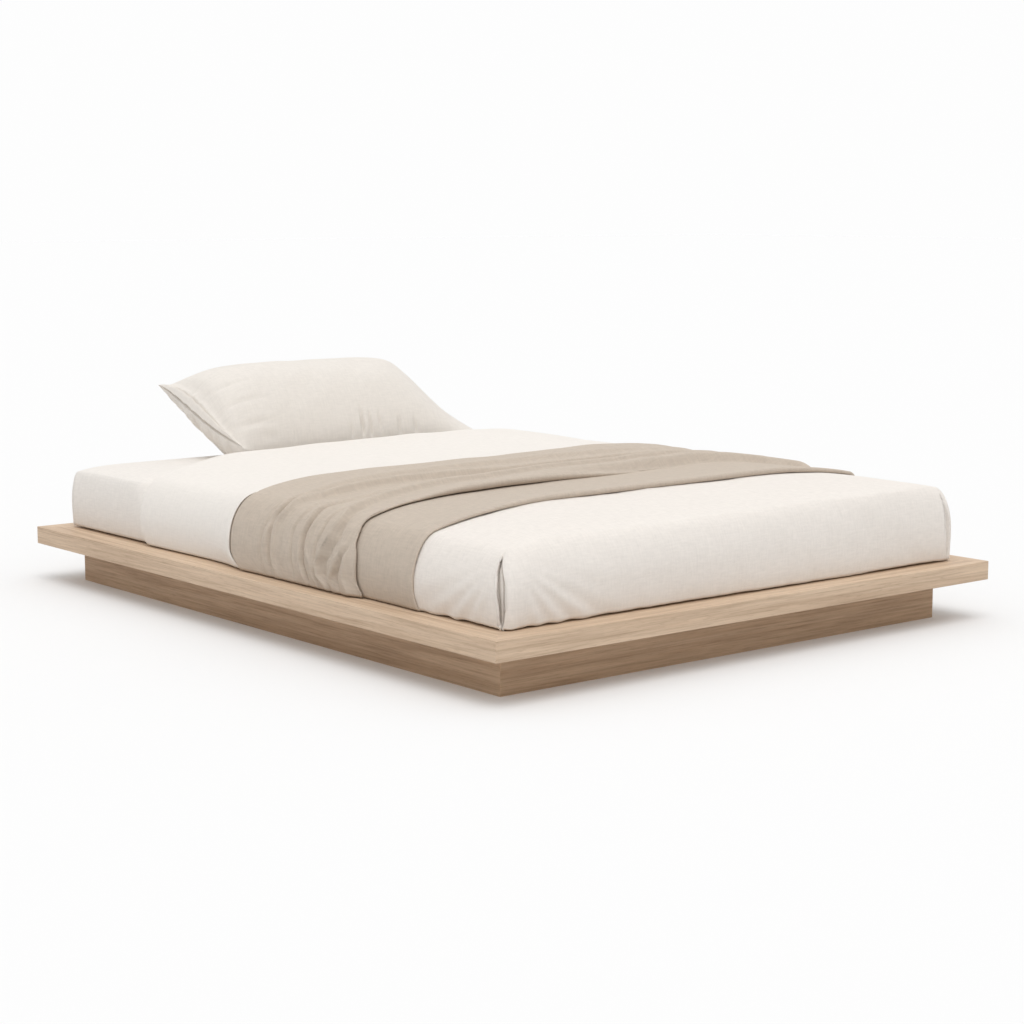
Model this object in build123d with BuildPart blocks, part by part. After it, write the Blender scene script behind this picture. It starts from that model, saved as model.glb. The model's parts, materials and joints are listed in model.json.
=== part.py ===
from build123d import *
import os

# Low platform bed in light oak: a wide mitred deck on a set-back plinth, a roll of slats
# let into the deck, and a made-up mattress with one pillow.
# Sizes are in millimetres. X runs across the bed, +Y points to the head, Z is up, and the
# origin is on the floor under the middle of the bed.

# Mattress
MATTRESS_WIDTH = 1530.0
MATTRESS_LENGTH = 2030.0
MATTRESS_BORDER = 182.0
MATTRESS_CROWN = 12.0
MATTRESS_BULGE = 14.0
MATTRESS_EDGE_RADIUS = 42.0
MATTRESS_CORNER_RADIUS = 70.0

# Plinth under the deck
PLINTH_HEIGHT = 108.0
PLINTH_THICKNESS = 22.0
PLINTH_SIDE_INSET = 98.0
PLINTH_END_INSET = 107.0
PLINTH_CORNER_RADIUS = 2.0

# Deck rails, whose seat is the strip of rail inside the plinth
DECK_SIDE_MARGIN = 85.0
DECK_END_MARGIN = 80.0
RAIL_THICKNESS = 50.0
RAIL_SEAT = 40.0
RAIL_EDGE_RADIUS = 1.5
DECK_CORNER_RADIUS = 3.0

# Loose tenons across each mitre of the deck
TENON_THICKNESS = 10.0
TENON_WIDTH = 50.0
TENON_LENGTH = 60.0
TENON_SPACING = 90.0
TENON_CLEARANCE = 0.15

# Slats, the ledgers that carry their ends, and the tapes that keep them spaced
SLAT_COUNT = 14
SLAT_WIDTH = 80.0
SLAT_THICKNESS = 20.0
SLAT_END_GAP = 3.0
SLAT_EDGE_RADIUS = 2.0
LEDGER_DEPTH = 28.0
LEDGER_END_GAP = 2.0
LEDGER_SCREW_COUNT = 6
LEDGER_SCREW_MARGIN = 70.0
TAPE_WIDTH = 40.0
TAPE_THICKNESS = 1.5
TAPE_TAIL = 12.0
TAPE_SPACING = 700.0
STAPLE_CROWN = 10.0
STAPLE_WIRE = 1.2
STAPLE_LEG = 8.0
STAPLE_CLEARANCE = 0.05

# Centre beam and the two cross bearers that are lapped into it
BEAM_THICKNESS = 28.0
BEARER_THICKNESS = 22.0
BEARER_SPACING = 960.0
LAP_CLEARANCE = 0.4
NOTCH_CLEARANCE = 1.0

# Corner blocks in the plinth
BLOCK_SIZE = 40.0
BLOCK_TOP_GAP = 4.0
BLOCK_SCREW_INSET = 22.0
BLOCK_SCREW_STAGGER = 18.0

# Steel corner plates under the deck mitres
PLATE_LEG = 110.0
PLATE_WIDTH = 26.0
PLATE_THICKNESS = 3.0
PLATE_WALL_GAP = 1.0
PLATE_HOLE_MARGIN = 14.0
PLATE_HOLE_SPACING = 34.0

# Steel angle brackets
BRACKET_LEG = 30.0
BRACKET_WIDTH = 46.0
BRACKET_THICKNESS = 2.5
BRACKET_BEND_RADIUS = 2.0
BRACKET_HOLE_OFFSET = 19.0
BRACKET_HOLE_SPACING = 26.0
DECK_BRACKET_SPACING = 700.0
END_BRACKET_SPACING = 800.0

# Pan-head wood screws
SCREW_RADIUS = 2.0
SCREW_HEAD_RADIUS = 4.0
SCREW_HEAD_HEIGHT = 2.6
SCREW_HEAD_CHAMFER = 0.9
SCREW_DRIVE_RADIUS = 1.7
SCREW_DRIVE_DEPTH = 1.4
SCREW_TIP_LENGTH = 4.0
SCREW_TIP_RADIUS = 0.4
SCREW_HOLD = 15.0
PILOT_CLEARANCE = 0.1

# Bedding layers: thickness down the sides, and on top
LAYER_GAP = 0.3
FITTED_SHEET_THICKNESS = 1.5
COVERLET_SIDE = 4.0
COVERLET_TOP = 12.0
COVERLET_HEAD_EDGE = 632.0
TOP_SHEET_SIDE = 2.5
TOP_SHEET_TOP = 5.0
TOP_SHEET_FOOT_EDGE = 30.0
TOP_SHEET_HEAD_EDGE = 655.0
TOP_SHEET_ROLL = 18.0
TOP_SHEET_ROLL_LENGTH = 95.0
THROW_LAYER = 4.0
THROW_HEAD_EDGE = 100.0
THROW_FOOT_EDGE = -690.0
THROW_UPPER_EDGE = -450.0
THROW_RIDGE = 5.0
THROW_RIDGE_LENGTH = 60.0
PLEAT_WIDTH = 12.0
PLEAT_FOOT = 6.0
PLEAT_HEIGHT = 162.0

# Pillow: its seam runs from the front edge up to the head edge
PILLOW_LENGTH = 904.0
PILLOW_FRONT = 672.0
PILLOW_BACK = 1062.0
PILLOW_FRONT_RISE = 24.0
PILLOW_BACK_RISE = 207.0
PILLOW_FULLNESS = 154.0
PILLOW_BELLY = 14.0
PILLOW_DRAW_IN = 18.0
PILLOW_TOE = 705.0
PILLOW_HEEL = 900.0
PILLOW_SEAM = 12.0
PILLOW_TAPER = 5

# Worked-out sizes of the frame
DECK_WIDTH = MATTRESS_WIDTH + 2 * DECK_SIDE_MARGIN
DECK_LENGTH = MATTRESS_LENGTH + 2 * DECK_END_MARGIN
DECK_TOP = PLINTH_HEIGHT + RAIL_THICKNESS
SIDE_RAIL_WIDTH = PLINTH_SIDE_INSET + PLINTH_THICKNESS + RAIL_SEAT
END_RAIL_WIDTH = PLINTH_END_INSET + PLINTH_THICKNESS + RAIL_SEAT
OPENING_WIDTH = DECK_WIDTH - 2 * SIDE_RAIL_WIDTH
OPENING_LENGTH = DECK_LENGTH - 2 * END_RAIL_WIDTH
PLINTH_WIDTH = DECK_WIDTH - 2 * PLINTH_SIDE_INSET
PLINTH_LENGTH = DECK_LENGTH - 2 * PLINTH_END_INSET
INNER_WIDTH = PLINTH_WIDTH - 2 * PLINTH_THICKNESS
INNER_LENGTH = PLINTH_LENGTH - 2 * PLINTH_THICKNESS
SLAT_UNDERSIDE = DECK_TOP - SLAT_THICKNESS
SLAT_PITCH = (OPENING_LENGTH + SLAT_WIDTH) / (SLAT_COUNT + 1)
LEDGER_HEIGHT = SLAT_UNDERSIDE - PLINTH_HEIGHT
LEDGER_LENGTH = OPENING_LENGTH - 2 * LEDGER_END_GAP
LEDGER_INNER = OPENING_WIDTH / 2 - LEDGER_DEPTH
BLOCK_HEIGHT = PLINTH_HEIGHT - PLATE_THICKNESS - SCREW_HEAD_HEIGHT - BLOCK_TOP_GAP
LAP_HEIGHT = PLINTH_HEIGHT / 2

# Screw lengths under the head: what the screw passes through, and its hold in the wood
PLATE_SCREW_LENGTH = PLATE_THICKNESS + SCREW_HOLD
BRACKET_SCREW_LENGTH = BRACKET_THICKNESS + SCREW_HOLD
LEDGER_SCREW_LENGTH = LEDGER_DEPTH + SCREW_HOLD
BLOCK_SCREW_LENGTH = BLOCK_SIZE + SCREW_HOLD

# How far each layer of bedding stands out from the mattress: on the sides, and on top
SHEET_INNER = (LAYER_GAP, LAYER_GAP)
SHEET_OUTER = (LAYER_GAP + FITTED_SHEET_THICKNESS, LAYER_GAP + FITTED_SHEET_THICKNESS)
COVERLET_INNER = (SHEET_OUTER[0] + LAYER_GAP, SHEET_OUTER[1] + LAYER_GAP)
COVERLET_OUTER = (COVERLET_INNER[0] + COVERLET_SIDE, COVERLET_INNER[1] + COVERLET_TOP)
TOP_SHEET_INNER = (COVERLET_OUTER[0] + LAYER_GAP, COVERLET_OUTER[1] + LAYER_GAP)
TOP_SHEET_OUTER = (TOP_SHEET_INNER[0] + TOP_SHEET_SIDE, TOP_SHEET_INNER[1] + TOP_SHEET_TOP)
ROLL_OUTER = (TOP_SHEET_OUTER[0], TOP_SHEET_OUTER[1] + TOP_SHEET_ROLL)
THROW_INNER = (TOP_SHEET_OUTER[0] + LAYER_GAP, TOP_SHEET_OUTER[1] + LAYER_GAP)
THROW_LOWER = (THROW_INNER[0] + THROW_LAYER, THROW_INNER[1] + THROW_LAYER)
THROW_UPPER = (THROW_LOWER[0] + THROW_LAYER, THROW_LOWER[1] + THROW_LAYER)
RIDGE_OUTER = (THROW_UPPER[0], THROW_UPPER[1] + THROW_RIDGE)
SHEET_TOP = DECK_TOP + MATTRESS_BORDER + MATTRESS_CROWN + SHEET_OUTER[1]
PILLOW_BASE = SHEET_TOP + LAYER_GAP

SIDES = (-1, 1)
CORNERS = [(side, end) for side in SIDES for end in SIDES]
DOWN = (Align.CENTER, Align.CENTER, Align.MAX)
UP = (Align.CENTER, Align.CENTER, Align.MIN)

os.makedirs("parts", exist_ok=True)


def save(part, name):
    """Label a finished piece and write it under its name."""
    part.label = name
    export_step(part, f"parts/{name}.step")


def side_mitres(side, width, length, run_x, run_y):
    """The two mitre cuts of a board along the left or right side of a frame."""
    return [
        Plane((side * width / 2, end * length / 2, 0), z_dir=(side * run_y, -end * run_x, 0))
        for end in SIDES
    ]


def end_mitres(end, width, length, run_x, run_y):
    """The two mitre cuts of a board along the foot or head of a frame."""
    return [
        Plane((side * width / 2, end * length / 2, 0), z_dir=(-side * run_y, end * run_x, 0))
        for side in SIDES
    ]


def tenon_plane(side, end):
    """Middle of a deck mitre, seen square on, with its X along the mitre."""
    return Plane(
        origin=(
            side * (DECK_WIDTH - SIDE_RAIL_WIDTH) / 2,
            end * (DECK_LENGTH - END_RAIL_WIDTH) / 2,
            PLINTH_HEIGHT + RAIL_THICKNESS / 2,
        ),
        x_dir=(side * SIDE_RAIL_WIDTH, end * END_RAIL_WIDTH, 0),
        z_dir=(side * END_RAIL_WIDTH, -end * SIDE_RAIL_WIDTH, 0),
    )


def bracket_plane(origin, first_normal, second_normal):
    """Corner of two faces: Z leaves the first face, and Y leaves the second."""
    x_dir = Vector(*second_normal).cross(Vector(*first_normal))
    return Plane(origin, x_dir=x_dir, z_dir=first_normal)


def bracket_seats(plane):
    """Where a bracket's four screw heads sit: two on each leg."""
    seats = []
    for across in (-BRACKET_HOLE_SPACING / 2, BRACKET_HOLE_SPACING / 2):
        first = plane.from_local_coords((across, BRACKET_HOLE_OFFSET, BRACKET_THICKNESS))
        second = plane.from_local_coords((across, BRACKET_THICKNESS, BRACKET_HOLE_OFFSET))
        seats.append(Plane(first, z_dir=plane.z_dir))
        seats.append(Plane(second, z_dir=plane.y_dir))
    return seats


def drill(seats, length):
    """Cut the pilot holes of screws of one length into the piece being made."""
    with Locations(*seats):
        Cylinder(
            SCREW_RADIUS + PILOT_CLEARANCE,
            length + PILOT_CLEARANCE,
            align=DOWN,
            mode=Mode.SUBTRACT,
        )


# Places of the brackets that hold the deck to the plinth
deck_bracket_planes = []
for side in SIDES:
    for step in (-1, 0, 1):
        deck_bracket_planes.append(
            bracket_plane(
                (side * INNER_WIDTH / 2, step * DECK_BRACKET_SPACING, PLINTH_HEIGHT),
                (0, 0, -1),
                (-side, 0, 0),
            )
        )
for end in SIDES:
    for side in SIDES:
        deck_bracket_planes.append(
            bracket_plane(
                (side * END_BRACKET_SPACING / 2, end * INNER_LENGTH / 2, PLINTH_HEIGHT),
                (0, 0, -1),
                (0, -end, 0),
            )
        )

# Places of the brackets that hold the beam and the bearers to the plinth
brace_bracket_planes = []
for end in SIDES:
    brace_bracket_planes.append(
        bracket_plane(
            (BEAM_THICKNESS / 2, end * INNER_LENGTH / 2, LAP_HEIGHT),
            (1, 0, 0),
            (0, -end, 0),
        )
    )
    for side in SIDES:
        face = end * (BEARER_SPACING + BEARER_THICKNESS) / 2
        brace_bracket_planes.append(
            bracket_plane(
                (side * INNER_WIDTH / 2, face, LAP_HEIGHT),
                (0, end, 0),
                (-side, 0, 0),
            )
        )

# Seats of every screw
deck_bracket_seats = [seat for plane in deck_bracket_planes for seat in bracket_seats(plane)]
brace_bracket_seats = [seat for plane in brace_bracket_planes for seat in bracket_seats(plane)]

plate_seats = []
for side, end in CORNERS:
    corner_x = INNER_WIDTH / 2 - PLATE_WALL_GAP
    corner_y = INNER_LENGTH / 2 - PLATE_WALL_GAP
    for along in (PLATE_LEG - PLATE_HOLE_MARGIN, PLATE_LEG - PLATE_HOLE_MARGIN - PLATE_HOLE_SPACING):
        for back_x, back_y in ((PLATE_WIDTH / 2, along), (along, PLATE_WIDTH / 2)):
            place = (
                side * (corner_x - back_x),
                end * (corner_y - back_y),
                PLINTH_HEIGHT - PLATE_THICKNESS,
            )
            plate_seats.append(Plane(place, z_dir=(0, 0, -1)))

ledger_seats = []
ledger_screw_step = (LEDGER_LENGTH - 2 * LEDGER_SCREW_MARGIN) / (LEDGER_SCREW_COUNT - 1)
for side in SIDES:
    for index in range(LEDGER_SCREW_COUNT):
        place = (
            side * LEDGER_INNER,
            -LEDGER_LENGTH / 2 + LEDGER_SCREW_MARGIN + index * ledger_screw_step,
            PLINTH_HEIGHT + LEDGER_HEIGHT / 2,
        )
        ledger_seats.append(Plane(place, z_dir=(-side, 0, 0)))

block_seats = []
for side, end in CORNERS:
    block_x = side * (INNER_WIDTH / 2 - BLOCK_SIZE)
    block_y = end * (INNER_LENGTH / 2 - BLOCK_SIZE)
    middle_x = side * (INNER_WIDTH - BLOCK_SIZE) / 2
    middle_y = end * (INNER_LENGTH - BLOCK_SIZE) / 2
    for height, turn in ((BLOCK_SCREW_INSET, 1), (BLOCK_HEIGHT - BLOCK_SCREW_INSET, -1)):
        block_seats.append(Plane((block_x, middle_y, height), z_dir=(-side, 0, 0)))
        height_across = height + turn * BLOCK_SCREW_STAGGER
        block_seats.append(Plane((middle_x, block_y, height_across), z_dir=(0, -end, 0)))


# Deck rails: the whole deck frame, cut along its mitres
def deck_rail(mitres):
    with BuildPart() as rail:
        with BuildSketch(Plane.XY.offset(PLINTH_HEIGHT)):
            RectangleRounded(DECK_WIDTH, DECK_LENGTH, DECK_CORNER_RADIUS)
        extrude(amount=RAIL_THICKNESS)
        rims = rail.faces().filter_by(Axis.Z).edges()
        fillet(rims, RAIL_EDGE_RADIUS)
        with BuildSketch(Plane.XY.offset(PLINTH_HEIGHT)):
            Rectangle(OPENING_WIDTH, OPENING_LENGTH)
        extrude(amount=RAIL_THICKNESS, mode=Mode.SUBTRACT)
        for side, end in CORNERS:
            with BuildSketch(tenon_plane(side, end)):
                with GridLocations(TENON_SPACING, TENON_SPACING, 2, 1):
                    SlotOverall(
                        TENON_WIDTH + 2 * TENON_CLEARANCE,
                        TENON_THICKNESS + 2 * TENON_CLEARANCE,
                    )
            extrude(amount=TENON_LENGTH / 2 + TENON_CLEARANCE, both=True, mode=Mode.SUBTRACT)
        drill(plate_seats, PLATE_SCREW_LENGTH)
        drill(deck_bracket_seats, BRACKET_SCREW_LENGTH)
        drill(ledger_seats, LEDGER_SCREW_LENGTH)
        for mitre in mitres:
            split(bisect_by=mitre, keep=Keep.TOP)
    return rail.part


deck_frame = (DECK_WIDTH, DECK_LENGTH, SIDE_RAIL_WIDTH, END_RAIL_WIDTH)
save(deck_rail(side_mitres(-1, *deck_frame)), "side_rail_left")
save(deck_rail(side_mitres(1, *deck_frame)), "side_rail_right")
save(deck_rail(end_mitres(-1, *deck_frame)), "foot_rail")
save(deck_rail(end_mitres(1, *deck_frame)), "head_rail")

# Loose tenons, two across each mitre
with BuildPart() as mitre_tenons:
    for side, end in CORNERS:
        with BuildSketch(tenon_plane(side, end)):
            with GridLocations(TENON_SPACING, TENON_SPACING, 2, 1):
                SlotOverall(TENON_WIDTH, TENON_THICKNESS)
        extrude(amount=TENON_LENGTH / 2, both=True)
save(mitre_tenons.part, "mitre_tenons")


# Plinth boards: the whole plinth, cut along its mitres
def plinth_board(mitres):
    with BuildPart() as board:
        with BuildSketch():
            RectangleRounded(PLINTH_WIDTH, PLINTH_LENGTH, PLINTH_CORNER_RADIUS)
            Rectangle(INNER_WIDTH, INNER_LENGTH, mode=Mode.SUBTRACT)
        extrude(amount=PLINTH_HEIGHT)
        drill(deck_bracket_seats, BRACKET_SCREW_LENGTH)
        drill(brace_bracket_seats, BRACKET_SCREW_LENGTH)
        drill(block_seats, BLOCK_SCREW_LENGTH)
        for mitre in mitres:
            split(bisect_by=mitre, keep=Keep.TOP)
    return board.part


plinth_frame = (PLINTH_WIDTH, PLINTH_LENGTH, PLINTH_THICKNESS, PLINTH_THICKNESS)
save(plinth_board(side_mitres(-1, *plinth_frame)), "plinth_left")
save(plinth_board(side_mitres(1, *plinth_frame)), "plinth_right")
save(plinth_board(end_mitres(-1, *plinth_frame)), "plinth_foot")
save(plinth_board(end_mitres(1, *plinth_frame)), "plinth_head")

# Corner blocks inside the plinth
with BuildPart() as plinth_corner_blocks:
    with GridLocations(INNER_WIDTH - BLOCK_SIZE, INNER_LENGTH - BLOCK_SIZE, 2, 2):
        Box(BLOCK_SIZE, BLOCK_SIZE, BLOCK_HEIGHT, align=UP)
    drill(block_seats, BLOCK_SCREW_LENGTH)
save(plinth_corner_blocks.part, "plinth_corner_blocks")

# Centre beam: full height between the end rails, lower under them, slotted for the bearers
with BuildPart() as centre_beam:
    with BuildSketch(Plane.YZ):
        Rectangle(INNER_LENGTH, PLINTH_HEIGHT, align=(Align.CENTER, Align.MIN))
        Rectangle(
            OPENING_LENGTH - 2 * NOTCH_CLEARANCE,
            SLAT_UNDERSIDE,
            align=(Align.CENTER, Align.MIN),
        )
        with GridLocations(BEARER_SPACING, BEARER_SPACING, 2, 1):
            Rectangle(
                BEARER_THICKNESS + 2 * LAP_CLEARANCE,
                LAP_HEIGHT + LAP_CLEARANCE,
                align=(Align.CENTER, Align.MIN),
                mode=Mode.SUBTRACT,
            )
    extrude(amount=BEAM_THICKNESS / 2, both=True)
    drill(brace_bracket_seats, BRACKET_SCREW_LENGTH)
save(centre_beam.part, "centre_beam")


# Cross bearers: slotted from above where the beam drops into them
def cross_bearer(end):
    with BuildPart() as bearer:
        with BuildSketch(Plane.XZ.offset(-end * BEARER_SPACING / 2)):
            Rectangle(INNER_WIDTH, PLINTH_HEIGHT, align=(Align.CENTER, Align.MIN))
            with Locations((0, LAP_HEIGHT)):
                Rectangle(
                    BEAM_THICKNESS + 2 * LAP_CLEARANCE,
                    PLINTH_HEIGHT - LAP_HEIGHT,
                    align=(Align.CENTER, Align.MIN),
                    mode=Mode.SUBTRACT,
                )
        extrude(amount=BEARER_THICKNESS / 2, both=True)
        drill(brace_bracket_seats, BRACKET_SCREW_LENGTH)
    return bearer.part


save(cross_bearer(-1), "cross_bearer_foot")
save(cross_bearer(1), "cross_bearer_head")

# Steel plates that tie each deck mitre from below
with BuildPart() as corner_plates:
    for side, end in CORNERS:
        with BuildSketch(Plane.XY.offset(PLINTH_HEIGHT - PLATE_THICKNESS)):
            with Locations(
                (
                    side * (INNER_WIDTH / 2 - PLATE_WALL_GAP),
                    end * (INNER_LENGTH / 2 - PLATE_WALL_GAP),
                )
            ):
                align_x = Align.MIN if side < 0 else Align.MAX
                align_y = Align.MIN if end < 0 else Align.MAX
                Rectangle(PLATE_LEG, PLATE_WIDTH, align=(align_x, align_y))
                Rectangle(PLATE_WIDTH, PLATE_LEG, align=(align_x, align_y))
        extrude(amount=PLATE_THICKNESS)
    drill(plate_seats, PLATE_SCREW_LENGTH)
save(corner_plates.part, "corner_plates")

# One angle bracket, with its bend along X
with BuildPart() as angle_bracket:
    with BuildSketch(Plane.YZ):
        with BuildLine():
            Polyline(
                (0, 0),
                (BRACKET_LEG, 0),
                (BRACKET_LEG, BRACKET_THICKNESS),
                (BRACKET_THICKNESS, BRACKET_THICKNESS),
                (BRACKET_THICKNESS, BRACKET_LEG),
                (0, BRACKET_LEG),
                close=True,
            )
        make_face()
    extrude(amount=BRACKET_WIDTH / 2, both=True)
    inside_bend = angle_bracket.edges().filter_by(Axis.X).sort_by_distance((0, 0, 0))[1]
    fillet(inside_bend, BRACKET_BEND_RADIUS)


# Brackets in their places, with their screw holes
def bracket_group(planes, seats):
    with BuildPart() as group:
        with Locations(*planes):
            add(angle_bracket.part)
        drill(seats, BRACKET_SCREW_LENGTH)
    return group.part


save(bracket_group(deck_bracket_planes, deck_bracket_seats), "deck_brackets")
save(bracket_group(brace_bracket_planes, brace_bracket_seats), "brace_brackets")


# Wood screws: a chamfered pan head with a hexagon drive, and a pointed shank
def screw_group(seats, length):
    with BuildPart() as screw:
        Cylinder(SCREW_HEAD_RADIUS, SCREW_HEAD_HEIGHT, align=UP)
        chamfer(screw.faces().sort_by(Axis.Z)[-1].edges(), SCREW_HEAD_CHAMFER)
        with BuildSketch(Plane.XY.offset(SCREW_HEAD_HEIGHT)):
            RegularPolygon(SCREW_DRIVE_RADIUS, 6)
        extrude(amount=-SCREW_DRIVE_DEPTH, mode=Mode.SUBTRACT)
        Cylinder(SCREW_RADIUS, length - SCREW_TIP_LENGTH, align=DOWN)
        with Locations((0, 0, -length)):
            Cone(SCREW_TIP_RADIUS, SCREW_RADIUS, SCREW_TIP_LENGTH, align=UP)
    with BuildPart() as group:
        with Locations(*seats):
            add(screw.part)
    return group.part


save(screw_group(plate_seats, PLATE_SCREW_LENGTH), "corner_plate_screws")
save(screw_group(deck_bracket_seats, BRACKET_SCREW_LENGTH), "deck_bracket_screws")
save(screw_group(brace_bracket_seats, BRACKET_SCREW_LENGTH), "brace_bracket_screws")
save(screw_group(ledger_seats, LEDGER_SCREW_LENGTH), "ledger_screws")
save(screw_group(block_seats, BLOCK_SCREW_LENGTH), "plinth_corner_screws")


# Ledgers on the inner faces of the side rails
def slat_ledger(side):
    with BuildPart() as ledger:
        with Locations((side * (LEDGER_INNER + LEDGER_DEPTH / 2), 0, PLINTH_HEIGHT)):
            Box(LEDGER_DEPTH, LEDGER_LENGTH, LEDGER_HEIGHT, align=UP)
        drill(ledger_seats, LEDGER_SCREW_LENGTH)
    return ledger.part


save(slat_ledger(-1), "slat_ledger_left")
save(slat_ledger(1), "slat_ledger_right")


# Slats, from foot to head, flush with the top of the deck
def slat_centre(index):
    return (index - (SLAT_COUNT - 1) / 2) * SLAT_PITCH


# Places of the four staples on one slat: two side by side on each tape
def staple_places(index):
    places = []
    for side in SIDES:
        for step in SIDES:
            across = side * TAPE_SPACING / 2 + step * TAPE_WIDTH / 4
            places.append((across, slat_centre(index), SLAT_UNDERSIDE - TAPE_THICKNESS))
    return places


# Cut the holes of a slat's staple legs into the piece being made
def cut_staple_holes(index):
    hole = STAPLE_WIRE + 2 * STAPLE_CLEARANCE
    with Locations(*staple_places(index)):
        with GridLocations(STAPLE_CROWN - STAPLE_WIRE, STAPLE_CROWN, 2, 1):
            Box(hole, hole, STAPLE_LEG + STAPLE_CLEARANCE, align=UP, mode=Mode.SUBTRACT)


for index in range(SLAT_COUNT):
    with BuildPart() as slat:
        with Locations((0, slat_centre(index), SLAT_UNDERSIDE)):
            Box(OPENING_WIDTH - 2 * SLAT_END_GAP, SLAT_WIDTH, SLAT_THICKNESS, align=UP)
        fillet(slat.edges().filter_by(Axis.X), SLAT_EDGE_RADIUS)
        cut_staple_holes(index)
    save(slat.part, f"slat_{index + 1:02d}")

# Woven tapes under the slats
tape_length = (SLAT_COUNT - 1) * SLAT_PITCH + SLAT_WIDTH - 2 * TAPE_TAIL
for side, name in zip(SIDES, ("left", "right")):
    with BuildPart() as slat_tape:
        with Locations((side * TAPE_SPACING / 2, 0, SLAT_UNDERSIDE)):
            Box(TAPE_WIDTH, tape_length, TAPE_THICKNESS, align=DOWN)
        for index in range(SLAT_COUNT):
            cut_staple_holes(index)
    save(slat_tape.part, f"slat_tape_{name}")

# Staples through the tapes
with BuildPart() as one_staple:
    with BuildSketch(Plane.XZ):
        Rectangle(STAPLE_CROWN, STAPLE_WIRE, align=(Align.CENTER, Align.MAX))
        with GridLocations(STAPLE_CROWN - STAPLE_WIRE, STAPLE_CROWN, 2, 1):
            Rectangle(STAPLE_WIRE, STAPLE_LEG, align=(Align.CENTER, Align.MIN))
    extrude(amount=STAPLE_WIRE / 2, both=True)

with BuildPart() as tape_staples:
    for index in range(SLAT_COUNT):
        with Locations(*staple_places(index)):
            add(one_staple.part)
save(tape_staples.part, "tape_staples")


# Soft form of the mattress: swollen sides, rounded edges and a crown, grown by a layer
def soft_block(layer):
    side, rise = layer
    border = DECK_TOP + MATTRESS_BORDER + rise
    crown = border + MATTRESS_CROWN
    waist = (DECK_TOP + border) / 2
    edge_radius = MATTRESS_EDGE_RADIUS + side
    half_width = MATTRESS_WIDTH / 2 + side
    half_length = MATTRESS_LENGTH / 2 + side
    reach = MATTRESS_LENGTH + MATTRESS_WIDTH
    with BuildPart() as block:
        with BuildSketch(Plane.XZ):
            with BuildLine():
                Line((-half_width, DECK_TOP), (half_width, DECK_TOP))
                ThreePointArc(
                    (half_width, DECK_TOP),
                    (half_width + MATTRESS_BULGE, waist),
                    (half_width, border),
                )
                ThreePointArc((half_width, border), (0, crown), (-half_width, border))
                ThreePointArc(
                    (-half_width, border),
                    (-half_width - MATTRESS_BULGE, waist),
                    (-half_width, DECK_TOP),
                )
            make_face()
            fillet(vertices().group_by(Axis.Y)[-1], edge_radius)
        extrude(amount=reach, both=True)
        with BuildSketch(Plane.YZ):
            with BuildLine():
                Line((-half_length, DECK_TOP), (half_length, DECK_TOP))
                ThreePointArc(
                    (half_length, DECK_TOP),
                    (half_length + MATTRESS_BULGE, waist),
                    (half_length, crown),
                )
                Line((half_length, crown), (-half_length, crown))
                ThreePointArc(
                    (-half_length, crown),
                    (-half_length - MATTRESS_BULGE, waist),
                    (-half_length, DECK_TOP),
                )
            make_face()
            fillet(vertices().group_by(Axis.Y)[-1], edge_radius)
        extrude(amount=reach, both=True, mode=Mode.INTERSECT)
        with BuildSketch():
            RectangleRounded(
                2 * (half_width + MATTRESS_BULGE) + LAYER_GAP,
                2 * (half_length + MATTRESS_BULGE) + LAYER_GAP,
                MATTRESS_CORNER_RADIUS + side,
            )
        extrude(amount=reach, mode=Mode.INTERSECT)
    return block.part


# Layer of cloth between two soft forms, over part of the length
def cloth_band(outer, inner, foot_edge, head_edge):
    with BuildPart() as band:
        add(soft_block(outer))
        add(soft_block(inner), mode=Mode.SUBTRACT)
        split(bisect_by=Plane((0, foot_edge, 0), z_dir=(0, 1, 0)), keep=Keep.TOP)
        split(bisect_by=Plane((0, head_edge, 0), z_dir=(0, -1, 0)), keep=Keep.TOP)
    return band.part


save(soft_block((0, 0)), "mattress")

with BuildPart() as fitted_sheet:
    add(soft_block(SHEET_OUTER))
    add(soft_block(SHEET_INNER), mode=Mode.SUBTRACT)
save(fitted_sheet.part, "fitted_sheet")

# Coverlet, open at the head, with a slit pleat down each foot corner
with BuildPart() as coverlet:
    add(soft_block(COVERLET_OUTER))
    add(soft_block(COVERLET_INNER), mode=Mode.SUBTRACT)
    split(bisect_by=Plane((0, COVERLET_HEAD_EDGE, 0), z_dir=(0, -1, 0)), keep=Keep.TOP)
    for side in SIDES:
        pleat_plane = Plane(
            origin=(side * MATTRESS_WIDTH / 2, -MATTRESS_LENGTH / 2, DECK_TOP + PLEAT_FOOT),
            x_dir=(1, side, 0),
            z_dir=(side, -1, 0),
        )
        with BuildSketch(pleat_plane):
            with BuildLine():
                upright = 1 if pleat_plane.y_dir.Z > 0 else -1
                foot = (0, 0)
                peak = (0, upright * PLEAT_HEIGHT)
                ThreePointArc(foot, (PLEAT_WIDTH / 2, upright * PLEAT_HEIGHT / 2), peak)
                ThreePointArc(peak, (-PLEAT_WIDTH / 2, upright * PLEAT_HEIGHT / 2), foot)
            make_face()
        extrude(amount=MATTRESS_CORNER_RADIUS, both=True, mode=Mode.SUBTRACT)
save(coverlet.part, "coverlet")

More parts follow.
